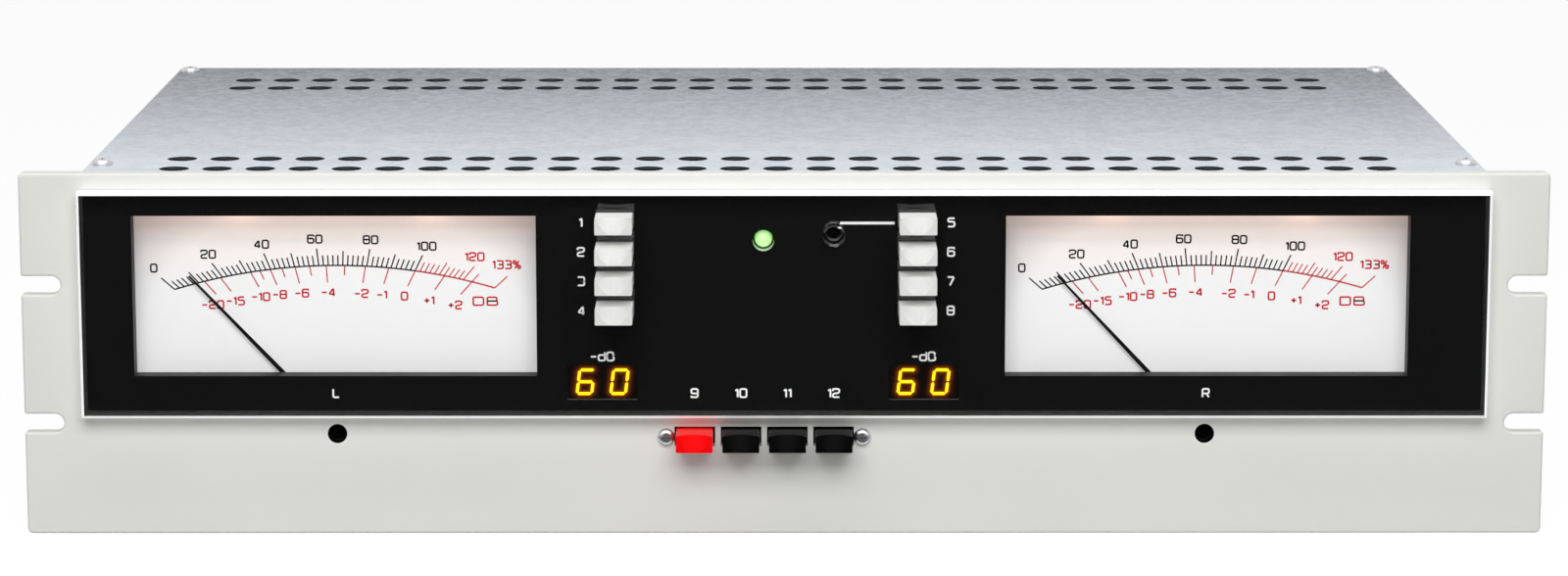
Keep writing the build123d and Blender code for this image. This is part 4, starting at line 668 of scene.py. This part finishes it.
def dial_prints(side):
    """Percent scale above the arc, black then red, and decibel scale below it."""
    pivot_x, _, pivot_z = JOINTS[f"{side}_needle_swing"]["pos_m"]
    face_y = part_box(f"{side}_meter_dial")[1].y - DIAL_PLATE_T
    black, red = Print(face_y), Print(face_y)

    def along(value, outside):
        """A point so far outside the arc at a value, on the line from the pivot."""
        x, z = on_arc(value)
        reach = hypot(x, z - pivot_z)
        share = 1 + outside / reach
        return pivot_x + x * share, pivot_z + (z - pivot_z) * share

    def beside(point, aside):
        """The middle of a number, so many mm aside of the end of its mark."""
        return point[0] + aside[0] * MM, point[1] + aside[1] * MM

    for ink, first, last in ((black, 0, SCALE_RED), (red, SCALE_RED, SCALE_END)):
        ink.strip([along(value, 0) for value in range(first, last + 1)], ARC_W)
    for value in [*range(0, SCALE_TICKED + 1, TICK_EVERY), SCALE_END]:
        ink, width = (black, TICK_W) if value <= SCALE_RED else (red, RED_TICK_W)
        length = TICK_SHORT if value % TICK_TENS_EVERY else TICK_TENS
        if value in NUMBER_ASIDE:
            length = TICK_LONG
            words = f"{value}%" if value == SCALE_END else str(value)
            ink.letters(words, beside(along(value, length), NUMBER_ASIDE[value]), NUMBER_H, NUMBER_LINE)
        ink.strip([along(value, 0), along(value, length)], width)
    for decibels in DECIBELS:
        value = percent(decibels)
        start = TICK_SHORT if decibels == DECIBELS[-1] else 0
        end = DECIBEL_LONG if decibels in DECIBEL_ASIDE else DECIBEL_SHORT
        red.strip([along(value, start), along(value, -end)], RED_TICK_W)
        if decibels in DECIBEL_ASIDE:
            words = f"{decibels:+d}" if decibels else "0"
            red.letters(words, beside(along(value, -end), DECIBEL_ASIDE[decibels]), NUMBER_H, NUMBER_LINE)
    red.letters("DB", beside(along(SCALE_END, 0), UNIT_ASIDE), UNIT_H, NUMBER_LINE, UNIT_STRETCH)
    black.done(f"{side}_scale_black", PRINT_BLACK, "dial_white")
    red.done(f"{side}_scale_red", PRINT_RED, "dial_white")


def halo_sheet(centre_x, name):
    """A thin sheet on a display's face that is brighter near the lit bars."""
    low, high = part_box("display_modules")
    digits = bmesh.new()
    digits.from_mesh(nodes["display_digits"].data)
    digits_tree = BVHTree.FromBMesh(digits)
    half_h = (high.z - low.z) / 2 - HALO_MARGIN
    columns, rows = int(2 * HALO_HALF_W / HALO_STEP), int(2 * half_h / HALO_STEP)
    sheet = bmesh.new()
    shine = sheet.verts.layers.float.new("shine")
    grid = []
    for row in range(rows + 1):
        for column in range(columns + 1):
            place = Vector((
                centre_x - HALO_HALF_W + 2 * HALO_HALF_W * column / columns,
                low.y - INK,
                (low.z + high.z) / 2 - half_h + 2 * half_h * row / rows,
            ))
            vert = sheet.verts.new(place)
            _, _, _, gap = digits_tree.find_nearest(place)
            vert[shine] = exp(-gap / HALO_FADE)
            grid.append(vert)
    for row in range(rows):
        for column in range(columns):
            i = row * (columns + 1) + column
            sheet.faces.new((grid[i], grid[i + 1], grid[i + columns + 2], grid[i + columns + 1]))
    digits.free()
    thin_piece(name, sheet, HALO)


# Places that the face tests and the labels need
MOUNTS = {mount["name"]: mount for mount in record["mounts"]}
ZERO_HOLES = [MOUNTS[f"zero_access_{side}"]["pos_m"][::2] for side in METERS]
ZERO_HOLE_R = MOUNTS["zero_access_left"]["dims"]["r_mm"] * MM + INK
PLATE_LOW, PLATE_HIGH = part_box("window_plate")
FILM_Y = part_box("window_mask")[0].y
DISPLAY_LOW, DISPLAY_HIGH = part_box("display_modules")
DISPLAY_XS = (DISPLAY_LOW.x + HALF_DISPLAY, DISPLAY_HIGH.x - HALF_DISPLAY)
PILOT_LOW, PILOT_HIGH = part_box("pilot_lamp")
PILOT_TIP = ((PILOT_LOW.x + PILOT_HIGH.x) / 2, PILOT_LOW.y, (PILOT_LOW.z + PILOT_HIGH.z) / 2)
BOARD_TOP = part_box("main_board")[0].z + BOARD_T
FRONT_BOARD_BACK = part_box("front_board")[0].y + BOARD_T
CAN_RIM_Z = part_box("capacitors")[1].z - CAN_RIM
POCKET_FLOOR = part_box("terminal_strip")[1].y - STRIP_POCKET_D


def in_row(mount, count, pitch):
    """X of so many fittings in an even row about a mount."""
    middle = MOUNTS[mount]["pos_m"][0]
    return [middle + (i - (count - 1) / 2) * pitch for i in range(count)]


def spaced(mount):
    """The spacing that a mount states, in metres."""
    return MOUNTS[mount]["dims"]["spacing_x_mm"] * MM


JACKS = [(x, 0.0) for x in in_row("signal_jacks", JACK_COUNT, spaced("signal_jacks"))]
WAYS = [(x, 0.0) for x in in_row("terminal_strip", STRIP_WAYS, spaced("terminal_strip"))]
BLADES_X = in_row("power_inlet", BLADE_COUNT, BLADE_PITCH)


# Tests that tell the faces of a piece apart by their centre and normal
def near(centre, places, reach):
    """True within reach of one of the places, given as (x, z)."""
    return any(hypot(centre.x - x, centre.z - z) < reach for x, z in places)


def in_zero_hole(centre, normal):
    """True on the walls of the two holes before the zero screws."""
    return abs(normal.y) < FACING and near(centre, ZERO_HOLES, ZERO_HOLE_R)


def at_plate_edge(centre, normal):
    """True on the plate's outer edge and its chamfer."""
    near_end = abs(centre.x) > PLATE_HIGH.x - PLATE_RIM
    near_rim = centre.z > PLATE_HIGH.z - PLATE_RIM or centre.z < PLATE_LOW.z + PLATE_RIM
    return abs(normal.y) < FACING_SQUARELY and (near_end or near_rim)


def in_plate_hole(centre, normal):
    """True on the walls of the openings cut through the plate."""
    return abs(normal.y) < FACING and not at_plate_edge(centre, normal)


def sheet_wall(centre, normal):
    """True on the cut edges of a flat cover."""
    return abs(normal.z) < FACING


def in_dish(centre, normal):
    """True on a cap's face and its finger dish."""
    return normal.y < -FACING


def on_board(centre, normal):
    """True on what stands on the main board."""
    return centre.z > BOARD_TOP


def on_front_board(centre, normal):
    """True on what stands behind the front board."""
    return centre.y > FRONT_BOARD_BACK


def can_end(centre, normal):
    """True on the capacitors' metal tops."""
    return normal.z > FACING_UP and centre.z > CAN_RIM_Z


def in_jack(centre, normal):
    """True inside a jack's barrel, its mouth and its flange left out."""
    depth = MOUNTS["signal_jacks"]["pos_m"][1] - centre.y
    return near(centre, JACKS, JACK_BORE_R) and INK < depth < JACK_BORE_D + INK


def jack_pin(centre, normal):
    """True on a jack's middle contact."""
    return near(centre, JACKS, JACK_PIN_R) and in_jack(centre, normal)


def strip_screw(centre, normal):
    """True on the screw heads in the terminal strip's pockets."""
    return near(centre, WAYS, STRIP_SCREW_R) and centre.y > POCKET_FLOOR + INK


def inlet_blade(centre, normal):
    """True on the power inlet's three contacts."""
    across = min(abs(centre.x - x) for x in BLADES_X)
    return across < BLADE_W / 2 and abs(centre.z - BLADE_Z) < BLADE_H / 2


class DriveRecess:
    """Tells the faces of the screws' cross recesses from the rest of their heads."""

    def __init__(self, node):
        """Finds each screw's middle and the axis along which it is longest."""
        shell = bmesh.new()
        shell.from_mesh(nodes[node].data)
        bmesh.ops.remove_doubles(shell, verts=shell.verts, dist=WELD)
        self.screws = []
        left = set(shell.verts)
        while left:
            screw, edge = set(), [left.pop()]
            while edge:
                vert = edge.pop()
                screw.add(vert)
                found = {e.other_vert(vert) for e in vert.link_edges} & left
                left -= found
                edge.extend(found)
            low = Vector([min(v.co[k] for v in screw) for k in range(3)])
            high = Vector([max(v.co[k] for v in screw) for k in range(3)])
            self.screws.append(((low + high) / 2, max(range(3), key=lambda k: (high - low)[k])))
        shell.free()

    def __call__(self, centre, normal):
        """True on the walls that stand close about a screw's own axis."""
        middle, axis = min(self.screws, key=lambda screw: (centre - screw[0]).length)
        aside = [centre[k] - middle[k] for k in range(3) if k != axis]
        return hypot(*aside) < DRIVE_REACH and abs(normal[axis]) < FACING


def set_back(place):
    """Keeps the film's front a hair behind the plate."""
    if place.y < FILM_Y + WELD:
        place.y += FILM_SET_BACK


# Front panel, plate and film
# The walls of the zero holes take the near-black as painted shade
own_copy("front_panel", PAINT, (HOLE_SHADE_BLACK, in_zero_hole))
# Painted light on the plate: near-black shade on the walls of its openings, a pale glow on its outer edge
own_copy("window_plate", ACRYLIC, (ACRYLIC_EDGE_GLOW, at_plate_edge), (HOLE_SHADE_BLACK, in_plate_hole))
own_copy("window_mask", MASK, shift=set_back)

# Chassis and screws
for node in ("top_cover", "bottom_cover"):
    # The cut edges and vent walls take the dark zinc as painted shade
    own_copy(node, COVER, (VENT_WALL_SHADE, sheet_wall), bevel=COVER_EDGE)
for node in ("left_side", "right_side", "rear_panel", "deck"):
    own_copy(node, SHEET, bevel=SHEET_EDGE)
for node in ("cover_screws", "frame_screws", "meter_screws", "bank_screws"):
    # The cross recesses take the dark metal as painted shade
    own_copy(node, PLATED, (RECESS_SHADE, DriveRecess(node)))
for node in ("panel_nuts", "board_standoffs"):
    own_copy(node, PLATED)

# Meters
for side in METERS:
    own_copy(f"{side}_meter_case", MOULDING, bevel=MOULDED_EDGE)
    # The dial's colour carries painted lamp light and painted corner shade
    own_copy(f"{side}_meter_dial", dial_paper(side))
    own_copy(f"{side}_meter_movement", MAGNET)
    own_copy(f"{side}_meter_needle", NEEDLE)
    own_copy(f"{side}_meter_coil", COPPER)
    # The zero screw takes the near-black as painted shade in its hole
    own_copy(f"{side}_zero_screw", HOLE_SHADE_BLACK)
    dial_prints(side)
own_copy("meter_backs", MOULDING, bevel=SOFT_EDGE)
own_copy("meter_lamps", LAMP)

# Push buttons and switch banks
for side in METERS:
    for number in BANK:
        # The fronts take the darker copy as painted shade
        own_copy(f"{side}_button_{number}", WHITE_CAP, (WHITE_DISH_SHADED, in_dish), bevel=CAP_EDGE)
for number in BANK:
    # The fronts take the darker copy as painted shade
    cap, dish = (RED_CAP, RED_DISH_SHADED) if number == BANK[0] else (BLACK_CAP, BLACK_DISH_SHADED)
    own_copy(f"lower_button_{number}", cap, (dish, in_dish), bevel=CAP_EDGE)
for node in ("upper_switch_banks", "lower_switch_bank"):
    own_copy(node, SWITCH, bevel=SHEET_EDGE)

# Displays, pilot lamp and trimmer
own_copy("display_modules", LENS, bevel=MOULDED_EDGE)
own_copy("display_digits", SEGMENT)
for side, x in zip(METERS, DISPLAY_XS):
    halo_sheet(x, f"{side}_display_halo")
own_copy("pilot_lamp", pilot_lens(PILOT_TIP, (PILOT_HIGH.x - PILOT_LOW.x) / 2))
own_copy("phase_trimmer", TRIMMER, bevel=SHEET_EDGE)
own_copy("trimmer_screw", MOULDING, bevel=FINE_EDGE)

# Boards, power parts and rear fittings
own_copy("front_board", BOARD, (CHIP, on_front_board))
own_copy("main_board", BOARD, (CHIP, on_board))
own_copy("ribbon_cable", RIBBON)
own_copy("transformer_stack", CORE, bevel=SOFT_EDGE)
own_copy("transformer_winding", WINDING, bevel=WINDING_EDGE)
own_copy("capacitors", SLEEVE, (CAN_TOP, can_end))
own_copy("heat_sink", SINK, bevel=MOULDED_EDGE)
own_copy("signal_jacks", PLATED, (INSULATOR, in_jack), (BRASS, jack_pin))
own_copy("terminal_strip", MOULDING, (PLATED, strip_screw))
own_copy("power_inlet", MOULDING, (PLATED, inlet_blade))
own_copy("fuse_holder", MOULDING)
own_copy("fuse_cap", MOULDING, bevel=SHEET_EDGE)

# Printed marks behind the plate: buttons 1 to 12 in three banks, then L, R, the unit and the leader line
LABELS = Print(FILM_Y + FILM_SET_BACK)
for number in BANK:
    for side, first, way in (("left", 0, -1), ("right", len(BANK), 1)):
        low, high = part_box(f"{side}_button_{number}")
        x = (low.x + high.x) / 2 + way * ((high.x - low.x) / 2 + LABEL_ASIDE)
        LABELS.letters(str(first + number), (x, (low.z + high.z) / 2 - LABEL_DROP), LABEL_H, LABEL_LINE)
    low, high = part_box(f"lower_button_{number}")
    place = ((low.x + high.x) / 2, LOWER_LABEL_Z)
    LABELS.letters(str(2 * len(BANK) + number), place, LABEL_H, LABEL_LINE)
for side, letter in zip(METERS, "LR"):
    x = JOINTS[f"{side}_needle_swing"]["pos_m"][0]
    LABELS.letters(letter, (x, LOWER_LABEL_Z), LABEL_H, LABEL_LINE)
for x in DISPLAY_XS:
    LABELS.letters("-dB", (x, DISPLAY_HIGH.z + LABEL_ABOVE), LABEL_H, LABEL_LINE)
LEADER_FROM = JOINTS["phase_turn"]["pos_m"][0] + LEADER_START
LEADER_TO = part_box("right_button_1")[0].x - LEADER_GAP
LABELS.strip([(LEADER_FROM, LEADER_Z), (LEADER_TO, LEADER_Z)], LEADER_W)
LABELS.done("plate_numerals", PRINT_WHITE, "black_film")


# Floor, lights and world
def studio_white():
    """Pale paper that looks white to the camera and keeps the object's soft shadow."""
    material, tree, shader = new_material("studio_white")
    tree.nodes.remove(shader)
    paper = tree.nodes.new("ShaderNodeBsdfDiffuse")
    paper.inputs["Color"].default_value = PAPER_COLOUR
    glow = tree.nodes.new("ShaderNodeEmission")
    glow.inputs["Strength"].default_value = PAPER_LIGHT
    share = rescale(tree, any_ray(tree, *SEEN_DIRECTLY), 0.0, 1.0, 0.0, PAPER_GLOW)
    blend_shaders(tree, share, paper, glow)
    return material


def level_sheet(name, half_w, front, back, z, material):
    """A flat sheet on the stage between two places in Y."""
    mesh = bpy.data.meshes.new(name)
    corners = [(-half_w, front), (half_w, front), (half_w, back), (-half_w, back)]
    mesh.from_pydata([(x, y, z) for x, y in corners], [], [(0, 1, 2, 3)])
    mesh.materials.append(material)
    sheet = link(bpy.data.objects.new(name, mesh))
    return sheet


def soft_box(name, place, target, size, power):
    """An area lamp at a place, turned to a target."""
    lamp = bpy.data.lights.new(name, "AREA")
    lamp.shape = "RECTANGLE"
    lamp.size, lamp.size_y = size
    lamp.energy = power
    holder = link(bpy.data.objects.new(name, lamp))
    holder.location = place
    holder.rotation_euler = (Vector(target) - Vector(place)).to_track_quat("-Z", "Y").to_euler()


def studio_air():
    """The world: white to the camera, through glass and in reflections, and a faint even fill otherwise."""
    world = bpy.data.worlds.new("studio")
    world.use_nodes = True
    tree = world.node_tree
    sky = tree.nodes["Background"]
    sky.inputs["Color"].default_value = (1.0, 1.0, 1.0, 1.0)
    strength = rescale(tree, any_ray(tree, *SEEN_DIRECTLY), 0.0, 1.0, FILL, 1.0)
    put(tree, strength, sky.inputs["Strength"])
    bpy.context.scene.world = world


# The paper floor is wider than any view. The card before the panel shows only in reflections and keeps
# glossy fronts dark.
FLOOR_Z = min(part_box(node)[0].z for node in nodes)
level_sheet("paper_floor", PAPER_HALF, -PAPER_HALF, PAPER_HALF, FLOOR_Z, studio_white())
CARD_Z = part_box("front_panel")[0].z + CARD_LIFT
CARD_BLACK = finish("card_black", srgb(12, 12, 12), 0.9, sockets=DULL)
card = level_sheet("dark_card", CARD_HALF, CARD_FRONT, CARD_BACK, CARD_Z, CARD_BLACK)
card.visible_camera = card.visible_diffuse = card.visible_shadow = False

soft_box("key", place=(0.0, -1.25, 1.0), target=(0.0, 0.0, 0.0), size=(1.4, 0.8), power=24.0)
soft_box("overhead", place=(0.0, -0.1, 1.2), target=(0.0, 0.06, 0.0), size=(1.4, 0.4), power=5.5)
soft_box("front_left", place=(-1.3, -2.0, 0.5), target=(0.0, 0.0, 0.0), size=(1.0, 0.8), power=1.2)
soft_box("front_right", place=(1.3, -2.0, 0.5), target=(0.0, 0.0, 0.0), size=(1.0, 0.8), power=1.2)
studio_air()
bpy.context.scene.view_settings.view_transform = "Standard"

# Camera
lens = bpy.data.cameras.new("camera")
lens.lens = CAMERA_LENS
lens.sensor_width = CAMERA_SENSOR
lens.clip_start = CAMERA_NEAR
camera = link(bpy.data.objects.new("camera", lens))
camera.location = CAMERA_PLACE
camera.rotation_euler = (pi / 2 - CAMERA_PITCH, 0.0, -CAMERA_YAW)
bpy.context.scene.camera = camera
